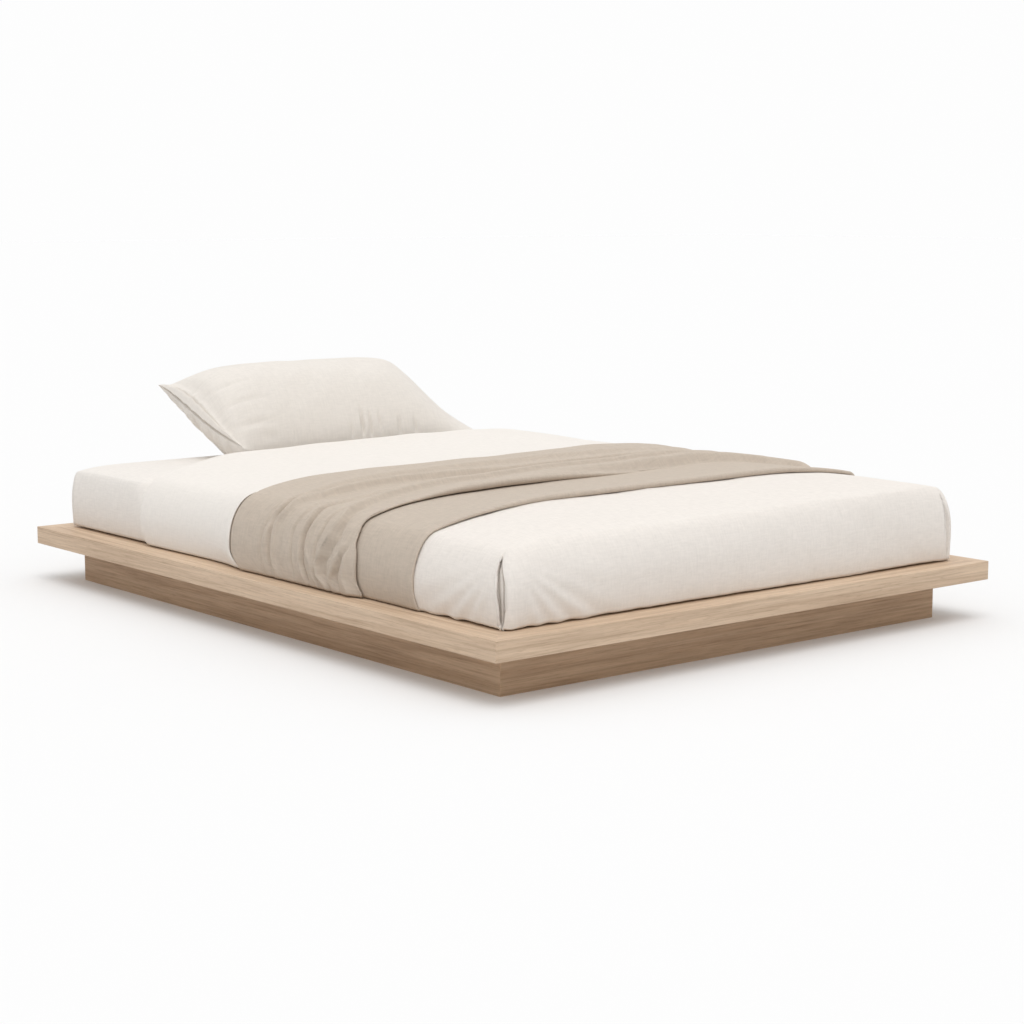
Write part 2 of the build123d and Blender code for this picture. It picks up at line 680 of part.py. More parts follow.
# Top sheet, turned down over the coverlet's head edge in a soft roll
with BuildPart() as top_sheet:
    seam = COVERLET_HEAD_EDGE + LAYER_GAP
    add(cloth_band(TOP_SHEET_OUTER, TOP_SHEET_INNER, TOP_SHEET_FOOT_EDGE, seam))
    add(cloth_band(TOP_SHEET_OUTER, COVERLET_INNER, seam, TOP_SHEET_HEAD_EDGE))
    add(
        cloth_band(
            ROLL_OUTER,
            TOP_SHEET_OUTER,
            TOP_SHEET_HEAD_EDGE - TOP_SHEET_ROLL_LENGTH,
            TOP_SHEET_HEAD_EDGE,
        )
    )
save(top_sheet.part, "top_sheet")

# Throw across the bed, folded back on itself, with a rolled ridge along the fold
with BuildPart() as throw_blanket:
    step = TOP_SHEET_FOOT_EDGE - LAYER_GAP
    add(cloth_band(THROW_LOWER, TOP_SHEET_INNER, THROW_FOOT_EDGE, step))
    add(cloth_band(THROW_LOWER, THROW_INNER, step, THROW_HEAD_EDGE))
    add(cloth_band(THROW_UPPER, THROW_LOWER, THROW_UPPER_EDGE, THROW_HEAD_EDGE))
    ridge_end = THROW_UPPER_EDGE + THROW_RIDGE_LENGTH
    add(cloth_band(RIDGE_OUTER, THROW_UPPER, THROW_UPPER_EDGE, ridge_end))
save(throw_blanket.part, "throw_blanket")


# Pillow: sections across its length, full in the middle and flat at the end seams
def pillow_outline(station):
    full = 1 - abs(station) ** PILLOW_TAPER
    draw_in = PILLOW_DRAW_IN * full
    front = Vector(PILLOW_FRONT + draw_in, PILLOW_BASE + PILLOW_FRONT_RISE)
    back = Vector(PILLOW_BACK - draw_in, PILLOW_BASE + PILLOW_BACK_RISE)
    chord = back - front
    upward = Vector(-chord.Y, chord.X).normalized()
    crown = (front + back) / 2 + upward * (PILLOW_SEAM + (PILLOW_FULLNESS - PILLOW_SEAM) * full)
    toe_share = (PILLOW_TOE - PILLOW_FRONT) / (PILLOW_BACK - PILLOW_FRONT)
    heel_share = (PILLOW_HEEL - PILLOW_FRONT) / (PILLOW_BACK - PILLOW_FRONT)
    flat_toe = front + chord * toe_share - upward * PILLOW_SEAM
    flat_heel = front + chord * heel_share - upward * PILLOW_SEAM
    toe = flat_toe + (Vector(PILLOW_TOE, PILLOW_BASE) - flat_toe) * full
    heel = flat_heel + (Vector(PILLOW_HEEL, PILLOW_BASE) - flat_heel) * full
    slope = back - heel
    outward = Vector(slope.Y, -slope.X).normalized()
    belly = (heel + back) / 2 + outward * (1 + PILLOW_BELLY * full)
    return front, crown, back, belly, heel, toe


with BuildPart() as pillow:
    for station in (-1, -0.94, -0.82, -0.6, 0, 0.6, 0.82, 0.94, 1):
        front, crown, back, belly, heel, toe = pillow_outline(station)
        with BuildSketch(Plane.YZ.offset(station * PILLOW_LENGTH / 2)):
            with BuildLine():
                ThreePointArc(front, crown, back)
                ThreePointArc(back, belly, heel)
                Line(heel, toe)
                Line(toe, front)
            make_face()
    loft()
save(pillow.part, "pillow")
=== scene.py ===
import json
from collections import namedtuple
from math import pi, radians

import bpy
import numpy as np
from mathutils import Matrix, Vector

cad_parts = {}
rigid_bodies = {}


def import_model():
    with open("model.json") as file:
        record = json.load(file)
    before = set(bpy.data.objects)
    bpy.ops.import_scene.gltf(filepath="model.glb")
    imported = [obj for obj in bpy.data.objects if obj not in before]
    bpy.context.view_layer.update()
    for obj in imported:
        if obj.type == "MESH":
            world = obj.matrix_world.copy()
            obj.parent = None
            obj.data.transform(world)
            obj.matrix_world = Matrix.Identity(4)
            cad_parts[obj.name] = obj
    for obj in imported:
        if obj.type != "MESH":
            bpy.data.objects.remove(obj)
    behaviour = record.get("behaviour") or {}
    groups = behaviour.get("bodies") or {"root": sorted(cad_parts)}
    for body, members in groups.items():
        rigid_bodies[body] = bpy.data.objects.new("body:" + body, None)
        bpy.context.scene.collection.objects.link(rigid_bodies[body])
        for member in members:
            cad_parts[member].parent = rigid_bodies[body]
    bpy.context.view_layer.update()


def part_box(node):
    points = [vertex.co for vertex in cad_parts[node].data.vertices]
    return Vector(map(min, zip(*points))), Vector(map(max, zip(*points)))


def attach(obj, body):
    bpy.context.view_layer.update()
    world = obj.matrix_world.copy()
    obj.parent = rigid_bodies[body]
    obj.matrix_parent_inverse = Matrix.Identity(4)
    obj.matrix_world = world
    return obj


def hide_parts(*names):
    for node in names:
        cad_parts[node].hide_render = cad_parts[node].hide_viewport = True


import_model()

# A low oak platform bed with a made-up mattress, a folded throw and one pillow.
# Lengths are metres. X is across the bed, +Y is towards the head, Z is up.

DECK_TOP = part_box("side_rail_left")[1][2]

# Camera, found from the straight edges of the deck and the plinth
CAMERA_PLACE = (-3.6973, -4.6512, 1.0977)
CAMERA_PITCH = 8.15643
CAMERA_YAW = 39.12678
CAMERA_LENS = 74.53

# Light: the sky's strength at the horizon and overhead, a wide soft sun, and a white floor and backdrop.
# The lift brings the open floor up to the backdrop's white.
SKY_LOW = 0.38
SKY_HIGH = 1.10
SUN_STRENGTH = 1.00
SUN_SPREAD = 40.0
SUN_TILT = 20.0
SUN_TURN = -30.0
FLOOR_REACH = 60.0
FLOOR_COLOUR = 0.80
FLOOR_LIFT = 0.0578
BACKDROP = 0.985

# Colours, linear
OAK_LIGHT = (0.702, 0.547, 0.405)
OAK_MID = (0.610, 0.457, 0.325)
OAK_DARK = (0.438, 0.302, 0.199)
# The plinth's tint darkens its oak: painted shade from the deck's overhang
PLINTH_PAINTED_SHADE = (0.82, 0.75, 0.68)
PLAIN_TINT = (1.0, 1.0, 1.0)
COVERLET_WHITE = (0.860, 0.806, 0.750)
SHEET_WHITE = (0.860, 0.815, 0.763)
FITTED_WHITE = (0.850, 0.805, 0.755)
PILLOW_WHITE = (0.835, 0.785, 0.725)
THROW_TAUPE = (0.570, 0.486, 0.402)

# A soft form has a crowned top that falls away towards each edge, an edge that turns down to the widest
# line, a side that sags in a little below it, and a small curl under at the hem. An edge is six numbers: how
# far the crown falls, over what distance, the width and height of the turn, the sag below it, and the curl.
CROWN, REACH, WIDTH, HEIGHT, SAG, CURL = range(6)
COVER_LEFT = np.array([0.064, 0.120, 0.060, 0.090, 0.004, 0.010])
COVER_RIGHT = np.array([0.030, 0.100, 0.040, 0.110, 0.004, 0.010])
UNDER_LEFT = np.array([0.046, 0.120, 0.060, 0.084, 0.004, 0.013])
UNDER_RIGHT = np.array([0.012, 0.100, 0.040, 0.104, 0.004, 0.013])
HEAD_EDGE = np.array([0.033, 0.060, 0.020, 0.080, 0.004, 0.013])
# The foot's share of the crown's fall, how round the head corners are, where the head's edge takes over, how
# far from the middle left and right blend, and how much of its sag a corner keeps
FOOT_CROWN = 0.70
HEAD_CORNER = 2.0
HEAD_START = 0.56
HEAD_FULL = 0.66
SIDE_BLEND = 0.6
CORNER_SAG = 0.3
Form = namedtuple("Form", "width head_width length middle head_middle hem corner left right head")
COVER = Form(
    width=0.7790, head_width=0.7790, length=1.0340, middle=0.3800, head_middle=0.3800,
    hem=DECK_TOP + 0.0034, corner=3.6, left=COVER_LEFT, right=COVER_RIGHT, head=None,
)
SHEET = Form(
    width=0.7735, head_width=0.7750, length=1.0285, middle=0.3560, head_middle=0.3535,
    hem=DECK_TOP + 0.0040, corner=1.1, left=UNDER_LEFT, right=UNDER_RIGHT, head=HEAD_EDGE,
)
MATTRESS_INSET = 0.0018
MATTRESS_HEM_LIFT = 0.0012
RIPPLE_PEAK = 1.4
WELD = 2e-5


def smoothstep(value, low, high):
    t = np.clip((value - low) / (high - low), 0, 1)
    return t * t * (3 - 2 * t)


def ripple(u, v, size, seed, waves=9):
    """Smooth unevenness between about -1 and 1, with features about one size across."""
    draw = np.random.RandomState(seed)
    total = 0
    for _ in range(waves):
        angle, phase = draw.uniform(0, 2 * pi, 2)
        length = size * draw.uniform(0.7, 1.6)
        total = total + np.sin(2 * pi * (u * np.cos(angle) + v * np.sin(angle)) / length + phase)
    return total / waves**0.5 / RIPPLE_PEAK


def normals_of(points):
    down = np.gradient(points, axis=0)
    along = np.gradient(points, axis=1)
    normal = np.cross(down, along)
    return normal / np.maximum(np.linalg.norm(normal, axis=2, keepdims=True), 1e-12)


def moved(points, distance):
    return points + normals_of(points) * distance[..., None]


def make_piece(name, grids, material, weights=None):
    """One smooth mesh from grids of points and UVs, welded where their edges meet."""
    points, uvs, quads, start = [], [], [], 0
    for grid, uv in grids:
        rows, cols = grid.shape[:2]
        index = start + np.arange(rows * cols).reshape(rows, cols)
        corners = (index[:-1, :-1], index[1:, :-1], index[1:, 1:], index[:-1, 1:])
        quads.append(np.stack([c.ravel() for c in corners], axis=1))
        points.append(grid.reshape(-1, 3))
        uvs.append(uv.reshape(-1, 2))
        start += rows * cols
    points, uvs, quads = np.concatenate(points), np.concatenate(uvs), np.concatenate(quads)
    keys = np.round(points / WELD).astype(np.int64)
    first, merged = np.unique(keys, axis=0, return_index=True, return_inverse=True)[1:]
    merged = merged.reshape(-1)
    faces, face_uvs = [], []
    for quad, ids in zip(quads.tolist(), merged[quads].tolist()):
        kept = [k for k in range(4) if ids[k] != ids[k - 1]]
        if len(kept) >= 3 and len({ids[k] for k in kept}) == len(kept):
            faces.append([ids[k] for k in kept])
            face_uvs.extend(uvs[quad[k]] for k in kept)
    mesh = bpy.data.meshes.new(name)
    mesh.from_pydata(points[first].tolist(), [], faces)
    layer = mesh.uv_layers.new(name="UVMap")
    layer.data.foreach_set("uv", np.array(face_uvs, dtype=np.float32).ravel())
    mesh.polygons.foreach_set("use_smooth", [True] * len(mesh.polygons))
    mesh.materials.append(material)
    mesh.update()
    piece = bpy.data.objects.new(name, mesh)
    bpy.context.scene.collection.objects.link(piece)
    if weights is not None:
        group = piece.vertex_groups.new(name="thickness")
        values = np.concatenate([w.ravel() for w in weights])[first]
        for value in np.unique(np.round(values, 2)):
            chosen = np.nonzero(np.round(values, 2) == value)[0]
            group.add(chosen.tolist(), float(value), "REPLACE")
    return piece


def thicken(piece, thickness, offset=-1.0, group=None):
    solid = piece.modifiers.new("thickness", "SOLIDIFY")
    solid.thickness = thickness
    solid.offset = offset
    solid.use_even_offset = False
    if group:
        solid.vertex_group = group
    return solid


# Materials

WAVE_UNIT = 2 * pi / 20
SLUB_WIDTH = 0.0050
SLUB_LENGTH = 0.035
SECOND_PLACE = (7, 3, 0)
CLOTH_WHITEST = 0.96
WOOD_ROUGH = 0.55
PORE_DARK = (0.76, 0.73, 0.70)
RIB_SIZE = 0.0018
RIB_DARK = (0.50, 0.46, 0.40)
RIB_LIGHT = (0.70, 0.66, 0.59)


def grey(value):
    return (value, value, value)


def set_inputs(node, **values):
    """Set a node's inputs by name, with underscores for spaces."""
    for name, value in values.items():
        node.inputs[name.replace("_", " ")].default_value = value


class Graph:
    """The shader nodes of a material or of the world."""

    def __init__(self, owner):
        owner.use_nodes = True
        self.nodes = owner.node_tree.nodes
        self.links = owner.node_tree.links

    def add(self, kind, **values):
        node = self.nodes.new("ShaderNode" + kind)
        set_inputs(node, **values)
        return node

    def fed(self, source, node, inlet, outlet):
        """A node's outlet, once a source is joined to its inlet."""
        self.links.new(source, node.inputs[inlet])
        return node.outputs[outlet]

    def mapped(self, source, scale=(1, 1, 1), place=(0, 0, 0)):
        coords = self.add("TexCoord")
        mapping = self.add("Mapping", Scale=scale, Location=place)
        return self.fed(coords.outputs[source], mapping, "Vector", "Vector")

    def noise(self, vector, scale=1.0, detail=3.0, roughness=0.55, distortion=0.0):
        node = self.add("TexNoise", Scale=scale, Detail=detail, Roughness=roughness, Distortion=distortion)
        return self.fed(vector, node, "Vector", "Fac")

    def ribs(self, vector, direction, size, distortion, detail=2.0):
        node = self.add("TexWave", Scale=WAVE_UNIT / size, Distortion=distortion, Detail=detail)
        node.bands_direction = direction
        return self.fed(vector, node, "Vector", "Fac")

    def ramp(self, value, *stops):
        node = self.add("ValToRGB")
        elements = node.color_ramp.elements
        while len(elements) < len(stops):
            elements.new(0.5)
        for element, (place, colour) in zip(elements, stops):
            element.position = place
            element.color = (*colour, 1)
        return self.fed(value, node, "Fac", "Color")

    def mix(self, kind, factor, first, second):
        node = self.add("Mix")
        node.data_type = "RGBA"
        node.blend_type = kind
        for name, value in (("Factor", factor), ("A", first), ("B", second)):
            target = [socket for socket in node.inputs if socket.name == name and socket.enabled][0]
            if isinstance(value, bpy.types.NodeSocket):
                self.links.new(value, target)
            else:
                target.default_value = value
        return [socket for socket in node.outputs if socket.enabled][0]

    def between(self, value, low, high):
        """A value from 0 to 1, drawn out from low to high."""
        node = self.add("MapRange", To_Min=low, To_Max=high)
        return self.fed(value, node, "Value", "Result")

    def bump(self, height, strength, distance, under=None):
        node = self.add("Bump", Strength=strength, Distance=distance)
        if under:
            self.links.new(under, node.inputs["Normal"])
        return self.fed(height, node, "Height", "Normal")

    def seen_directly(self):
        """1 where the camera or a gloss looks straight at something, or else 0."""
        path = self.add("LightPath")
        node = self.add("Math")
        node.operation = "MAXIMUM"
        self.links.new(path.outputs["Is Glossy Ray"], node.inputs[1])
        return self.fed(path.outputs["Is Camera Ray"], node, 0, 0)


def new_material(name):
    """A material, its graph, its shader, and a way to join things to the shader."""
    material = bpy.data.materials.new(name)
    graph = Graph(material)
    shader = graph.nodes["Principled BSDF"]

    def show(source, inlet):
        graph.links.new(source, shader.inputs[inlet])

    return material, graph, shader, show


def cloth_material(name, colour, thread, slub, mottle, rough, sheen, weave_depth, shine):
    """A woven cloth: crossing threads, thicker slubs along both, and a soft uneven tone."""
    material, graph, shader, show = new_material(name)
    flat = graph.mapped("UV")
    warp_slubs = graph.noise(graph.mapped("UV", (1 / SLUB_WIDTH, 1 / SLUB_LENGTH, 1)))
    weft_slubs = graph.noise(graph.mapped("UV", (1 / SLUB_LENGTH, 1 / SLUB_WIDTH, 1), SECOND_PLACE))
    light = tuple(min(c * (1 + slub), CLOTH_WHITEST) for c in colour)
    dark = tuple(c * (1 - slub) for c in colour)
    tones = [graph.ramp(slubs, (0.25, dark), (0.75, light)) for slubs in (warp_slubs, weft_slubs)]
    threads = graph.mix("MIX", 0.5, *tones)
    patches = graph.noise(flat, scale=60.0, detail=5.0, roughness=0.7)
    tone = graph.ramp(patches, (0.3, grey(1 - mottle)), (0.7, grey(1.0)))
    show(graph.mix("MULTIPLY", 1.0, threads, tone), "Base Color")
    ribs = [graph.ribs(flat, direction, thread, distortion=1.2, detail=1.0) for direction in "XY"]
    weave = graph.bump(graph.mix("MULTIPLY", 1.0, *ribs), 0.5, weave_depth)
    slubs = graph.mix("ADD", 1.0, warp_slubs, weft_slubs)
    show(graph.bump(slubs, 0.35, weave_depth * 2, weave), "Normal")
    set_inputs(shader, Roughness=rough, Specular_IOR_Level=shine, Sheen_Weight=sheen, Sheen_Roughness=0.5)
    return material


def wood_material(name, grain, colours, place, tint=PLAIN_TINT, contrast=1.0):
    """Oak with broad bands, fine streaks and short pores, all drawn out along the grain."""
    material, graph, shader, show = new_material(name)
    # A tint below 1 darkens the oak; on the plinth it is painted shade
    light, mid, dark = [tuple(c * t for c, t in zip(colour, tint)) for colour in colours]

    def stretched(across, along):
        scale = [1 / across] * 3
        scale["XYZ".index(grain)] = 1 / along
        return graph.mapped("Object", tuple(scale), place)

    bands = graph.noise(stretched(0.030, 0.9), detail=4.0, roughness=0.6, distortion=0.7)
    streaks = graph.noise(stretched(0.0050, 0.22), detail=4.0, roughness=0.62, distortion=0.3)
    pores = graph.noise(stretched(0.0020, 0.036), detail=2.0)
    half = 0.15 / contrast
    broad = graph.ramp(bands, (0.5 - half, dark), (0.5, mid), (0.5 + half, light))
    low, high = 1 - 0.17 * contrast, 1 + 0.12 * contrast
    warm = (low, low * 0.97, low * 0.94)
    fine = graph.ramp(streaks, (0.32, warm), (0.5, grey(1.0)), (0.68, grey(high)))
    pits = graph.ramp(pores, (0.28, PORE_DARK), (0.44, grey(1.0)))
    base = graph.mix("MIX", 0.5, (*mid, 1), broad)
    base = graph.mix("MULTIPLY", 1.0, base, fine)
    show(graph.mix("MULTIPLY", 0.7, base, pits), "Base Color")
    show(graph.between(streaks, WOOD_ROUGH + 0.08, WOOD_ROUGH - 0.06), "Roughness")
    lines = graph.bump(streaks, 0.25, 0.0006)
    show(graph.bump(pores, 0.3, 0.0004, lines), "Normal")
    set_inputs(shader, Specular_IOR_Level=0.3)
    return material


def metal_material(name, colour, rough, grain):
    material, graph, shader, show = new_material(name)
    patches = graph.noise(graph.mapped("Object"), scale=grain)
    dull = tuple(c * 0.82 for c in colour)
    show(graph.ramp(patches, (0.35, dull), (0.65, colour)), "Base Color")
    show(graph.between(patches, rough - 0.08, rough + 0.1), "Roughness")
    show(graph.bump(patches, 0.15, 0.0004), "Normal")
    set_inputs(shader, Metallic=1.0)
    return material


def tape_material():
    """Woven cotton tape: ribs across its width."""
    material, graph, shader, show = new_material("tape_cotton")
    ribs = graph.ribs(graph.mapped("Object"), "Y", RIB_SIZE, distortion=0.6)
    show(graph.ramp(ribs, (0.2, RIB_DARK), (0.8, RIB_LIGHT)), "Base Color")
    show(graph.bump(ribs, 0.5, 0.0006), "Normal")
    set_inputs(shader, Roughness=0.9)
    return material


OAK = (OAK_LIGHT, OAK_MID, OAK_DARK)
PLAIN_WOOD = ((0.62, 0.50, 0.36), (0.54, 0.42, 0.29), (0.42, 0.31, 0.20))
SLAT_WOOD = ((0.72, 0.60, 0.44), (0.64, 0.51, 0.36), (0.50, 0.38, 0.25))
ZINC = (0.62, 0.63, 0.64)
STEEL = (0.56, 0.55, 0.53)
TICKING = (0.80, 0.79, 0.76)
SLAT_COUNT = 14
# Each board has its grain from another place in the wood
GRAIN_STEP = (3.1, 5.7, 1.9)
RAIL_LOOK = (PLAIN_TINT, 1.0)
# The plinth's oak is darker by its tint, which is painted shade, and its bands are bolder
PLINTH_SHADED_LOOK = (PLINTH_PAINTED_SHADE, 1.3)
OAK_BOARDS = (
    ("side_rail_left", "Y", RAIL_LOOK),
    ("side_rail_right", "Y", RAIL_LOOK),
    ("foot_rail", "X", RAIL_LOOK),
    ("head_rail", "X", RAIL_LOOK),
    ("plinth_left", "Y", PLINTH_SHADED_LOOK),
    ("plinth_right", "Y", PLINTH_SHADED_LOOK),
    ("plinth_foot", "X", PLINTH_SHADED_LOOK),
    ("plinth_head", "X", PLINTH_SHADED_LOOK),
)


def dress(material, *names):
    for name in names:
        mesh = bpy.data.objects[name].data
        mesh.materials.clear()
        mesh.materials.append(material)


for number, (node, grain, look) in enumerate(OAK_BOARDS):
    place = tuple(step * number for step in GRAIN_STEP)
    dress(wood_material("oak_" + node, grain, OAK, place, *look), node)
lengthways = wood_material("inner_pine_y", "Y", PLAIN_WOOD, (2, 4, 6))
crossways = wood_material("inner_pine_x", "X", PLAIN_WOOD, (9, 1, 3))
upright = wood_material("inner_pine_z", "Z", PLAIN_WOOD, (5, 8, 2))
slat_wood = wood_material("slat_birch", "X", SLAT_WOOD, (1, 7, 4))
tenon_wood = wood_material("tenon_beech", "X", SLAT_WOOD, (6, 2, 9))
zinc = metal_material("zinc_plate", ZINC, rough=0.42, grain=260.0)
steel = metal_material("screw_steel", STEEL, rough=0.34, grain=420.0)
screws = [name for name in bpy.data.objects.keys() if name.endswith("_screws")]
dress(lengthways, "centre_beam", "slat_ledger_left", "slat_ledger_right")
dress(crossways, "cross_bearer_foot", "cross_bearer_head")
dress(upright, "plinth_corner_blocks")
dress(tenon_wood, "mitre_tenons")
dress(zinc, "corner_plates", "deck_brackets", "brace_brackets")
dress(steel, "tape_staples", *screws)
dress(tape_material(), "slat_tape_left", "slat_tape_right")
dress(slat_wood, *[f"slat_{number:02d}" for number in range(1, SLAT_COUNT + 1)])

# Each cloth: name, colour, thread width, slubs, mottling, roughness, sheen, weave depth and shine
CLOTHS = (
    ("coverlet_linen", COVERLET_WHITE, 0.0014, 0.065, 0.055, 0.7, 0.05, 0.0005, 0.5),
    ("top_sheet_cotton", SHEET_WHITE, 0.0009, 0.05, 0.03, 0.8, 0.1, 0.0003, 0.25),
    ("fitted_sheet_cotton", FITTED_WHITE, 0.0009, 0.07, 0.04, 0.8, 0.1, 0.0003, 0.25),
    ("pillow_linen", PILLOW_WHITE, 0.0013, 0.055, 0.05, 0.85, 0.15, 0.0005, 0.25),
    ("throw_wool", THROW_TAUPE, 0.0016, 0.12, 0.06, 0.7, 0.0, 0.0006, 0.5),
    ("mattress_ticking", TICKING, 0.0012, 0.03, 0.03, 0.8, 0.1, 0.0004, 0.25),
)
coverlet_cloth, sheet_cloth, fitted_cloth, pillow_cloth, throw_cloth, ticking = (
    cloth_material(*cloth) for cloth in CLOTHS
)


# Soft forms


def head_share(form, y):
    if form.head is None:
        return np.zeros(np.shape(y))
    return smoothstep(np.asarray(y, float), HEAD_START, HEAD_FULL)


def half_width(form, y):
    return form.width + (form.head_width - form.width) * head_share(form, y)


def edge_at(form, x, y):
    """The edge's six numbers at a place: left and right blend across the bed, and into the head."""
    across = smoothstep(np.asarray(x, float), -SIDE_BLEND, SIDE_BLEND)
    across, share = np.broadcast_arrays(across, head_share(form, y))
    spread = (slice(None),) + (None,) * across.ndim
    edge = form.left[spread] + (form.right - form.left)[spread] * across
    if form.head is not None:
        edge = edge + (form.head[spread] - edge) * share
    return edge


def crown_height(form, x, y):
    x, y = np.broadcast_arrays(np.asarray(x, float), np.asarray(y, float))
    left = edge_at(form, -1.0, y)
    right = edge_at(form, 1.0, y)
    foot = edge_at(form, x, -1.0)
    width = half_width(form, y)
    drops = [
        left[CROWN] * np.exp(-(width + x) / left[REACH]),
        right[CROWN] * np.exp(-(width - x) / right[REACH]),
        FOOT_CROWN * foot[CROWN] * np.exp(-(form.length + y) / foot[REACH]),
    ]
    if form.head is not None:
        drops.append(form.head[CROWN] * np.exp(-(form.length - y) / form.head[REACH]))
    fall = sum(drop**3 for drop in drops) ** (1 / 3)
    middle = form.middle + (form.head_middle - form.middle) * head_share(form, y)
    return middle - fall


# Rows of a wall: over the edge, down the side, round the curl, and then tucked under in steps
UPPER_ROWS = 26
LOWER_ROWS = 14
CURL_ROWS = 8
TUCK_ROWS = 4
TUCK_STEP = 0.008
WALL_ROWS = UPPER_ROWS + LOWER_ROWS + CURL_ROWS + TUCK_ROWS
HEM_ROW = WALL_ROWS - TUCK_ROWS


def wall_rows():
    """For each row of a wall: its turn over the edge, its share of the side, its curl, and its tuck."""
    rows = [(turn, 0.0, 0.0, 0.0) for turn in np.linspace(0, pi / 2, UPPER_ROWS)]
    rows += [(pi / 2, share, 0.0, 0.0) for share in np.linspace(0, 1, LOWER_ROWS + 1)[1:]]
    rows += [(pi / 2, 1.0, curl, 0.0) for curl in np.linspace(0, pi / 2, CURL_ROWS + 1)[1:]]
    rows += [(pi / 2, 1.0, pi / 2, TUCK_STEP * (step + 1)) for step in range(TUCK_ROWS)]
    return rows


def wall_row(form, edge, row, anchor_x, anchor_y, across, along):
    """One row of a wall: from its anchor out over the edge, and down towards the hem."""
    turn, share, curl, tuck = row
    out = edge[WIDTH] * np.sin(turn)
    widest_x, widest_y = anchor_x + across * out, anchor_y + along * out
    z = crown_height(form, widest_x, widest_y) - edge[HEIGHT] * (1 - np.cos(turn))
    z = z + (form.hem + edge[CURL] - z) * share - edge[CURL] * np.sin(curl)
    out = out - edge[SAG] * share**2 - edge[CURL] * (1 - np.cos(curl)) - tuck
    x, y = anchor_x + across * out, anchor_y + along * out
    return np.stack(np.broadcast_arrays(x, y, z), axis=-1)


def wall(form, edge, anchor_x, anchor_y, out_x, out_y):
    """The side of a form below its crown, row by row down to the hem and a little way under it."""
    points = []
    for number, row in enumerate(wall_rows()):
        across = out_x[number] if len(out_x) > 1 else out_x[0]
        along = out_y[number] if len(out_y) > 1 else out_y[0]
        points.append(wall_row(form, edge, row, anchor_x, anchor_y, across, along))
    return np.array(points)


def corner_radius(turn, power):
    return (np.abs(np.cos(turn)) ** power + np.abs(np.sin(turn)) ** power) ** (-1 / power)


def corner_turns(places, power, size):
    """Angles round a corner at distances from its middle, and the corner's half length."""
    turns = np.linspace(0, pi / 2, 721)
    radius = corner_radius(turns, power) * size
    steps = np.hypot(np.diff(radius * np.cos(turns)), np.diff(radius * np.sin(turns)))
    length = np.concatenate([[0], np.cumsum(steps)])
    half = length[-1] / 2
    return np.interp(places, length - half, turns), half


# Each corner: its sides in x and y, and the directions in which it starts and ends
CORNERS = {
    "left_foot": ((-1, -1), (-1, 0), (0, -1)),
    "right_foot": ((1, -1), (0, -1), (1, 0)),
    "right_head": ((1, 1), (1, 0), (0, 1)),
    "left_head": ((-1, 1), (0, 1), (-1, 0)),
}


def corner_facts(form, corner):
    """A corner's edge, its sharpness and its half length."""
    (side_x, side_y), _, _ = CORNERS[corner]
    edge = edge_at(form, float(side_x), float(side_y))
    power = HEAD_CORNER if side_y > 0 else form.corner
    return edge, power, corner_turns(np.zeros(1), power, float(edge[WIDTH]))[1]


def corner_wall(form, corner, places):
    """A wall round a corner; places has one row per wall row, or one row for all of them."""
    (side_x, side_y), first, second = CORNERS[corner]
    edge, power, half = corner_facts(form, corner)
    turns = corner_turns(places, power, float(edge[WIDTH]))[0]
    radius = corner_radius(turns, power)
    out_x = radius * (np.cos(turns) * first[0] + np.sin(turns) * second[0])
    out_y = radius * (np.cos(turns) * first[1] + np.sin(turns) * second[1])
    flat = np.zeros(places.shape[-1])
    anchor_x = side_x * (half_width(form, side_y) - edge[WIDTH]) + flat
    anchor_y = side_y * (form.length - edge[WIDTH]) + flat
    edge = edge[:, None] + flat
    edge[SAG:] = edge[SAG:] * (CORNER_SAG + (1 - CORNER_SAG) * smoothstep(np.abs(places[0]), 0.0, half))
    return wall(form, edge, anchor_x, anchor_y, out_x, out_y)


def side_wall(form, side, y):
    edge = edge_at(form, float(side), y)
    anchor = side * (half_width(form, y) - edge[WIDTH])
    return wall(form, edge, anchor, y, np.full((1, len(y)), float(side)), np.zeros((1, len(y))))


def end_wall(form, end, x):
    edge = edge_at(form, x, float(end))
    anchor = end * (form.length - edge[WIDTH])
    return wall(form, edge, x, anchor, np.zeros((1, len(x))), np.full((1, len(x)), float(end)))


def top_grid(form, head_line, rows, cols):
    """The crowned top: x across and y from the head line, or the head edge, down to the foot edge."""
    share_x = np.linspace(0, 1, cols)[None, :]
    share_y = np.linspace(0, 1, rows)[:, None]
    x = (share_x * 2 - 1) * form.width + 0.0 * share_y
    y = 0.0 * x
    for _ in range(6):
        left = -(half_width(form, y) - edge_at(form, -1.0, y)[WIDTH])
        right = half_width(form, y) - edge_at(form, 1.0, y)[WIDTH]
        x = left + (right - left) * share_x
        foot = -(form.length - edge_at(form, x, -1.0)[WIDTH])
        head = head_line(x) if head_line else form.length - form.head[WIDTH] + 0.0 * x
        y = head + (foot - head) * share_y
    return np.stack([x, y, crown_height(form, x, y)], axis=-1)


def wall_uv(points):
    """Cloth distances: along the outline by place, and down the wall by length."""
    steps = np.linalg.norm(np.diff(points, axis=0), axis=2)
    down = np.concatenate([np.zeros((1, points.shape[1])), np.cumsum(steps, axis=0)])
    ahead = np.linalg.norm(np.diff(points[UPPER_ROWS], axis=0), axis=1)
    along = np.concatenate([[0], np.cumsum(ahead)])
    return np.stack([np.broadcast_to(along, down.shape), down], axis=-1)


def top_uv(points):
    return points[..., :2].copy()


def curve(places, stops):
    """A smooth line through stops, which are pairs of place and value."""
    total = np.full(np.shape(places), float(stops[0][1]))
    for (start, low), (end, high) in zip(stops, stops[1:]):
        total = total + (high - low) * smoothstep(places, start, end)
    return total


# Coverlet

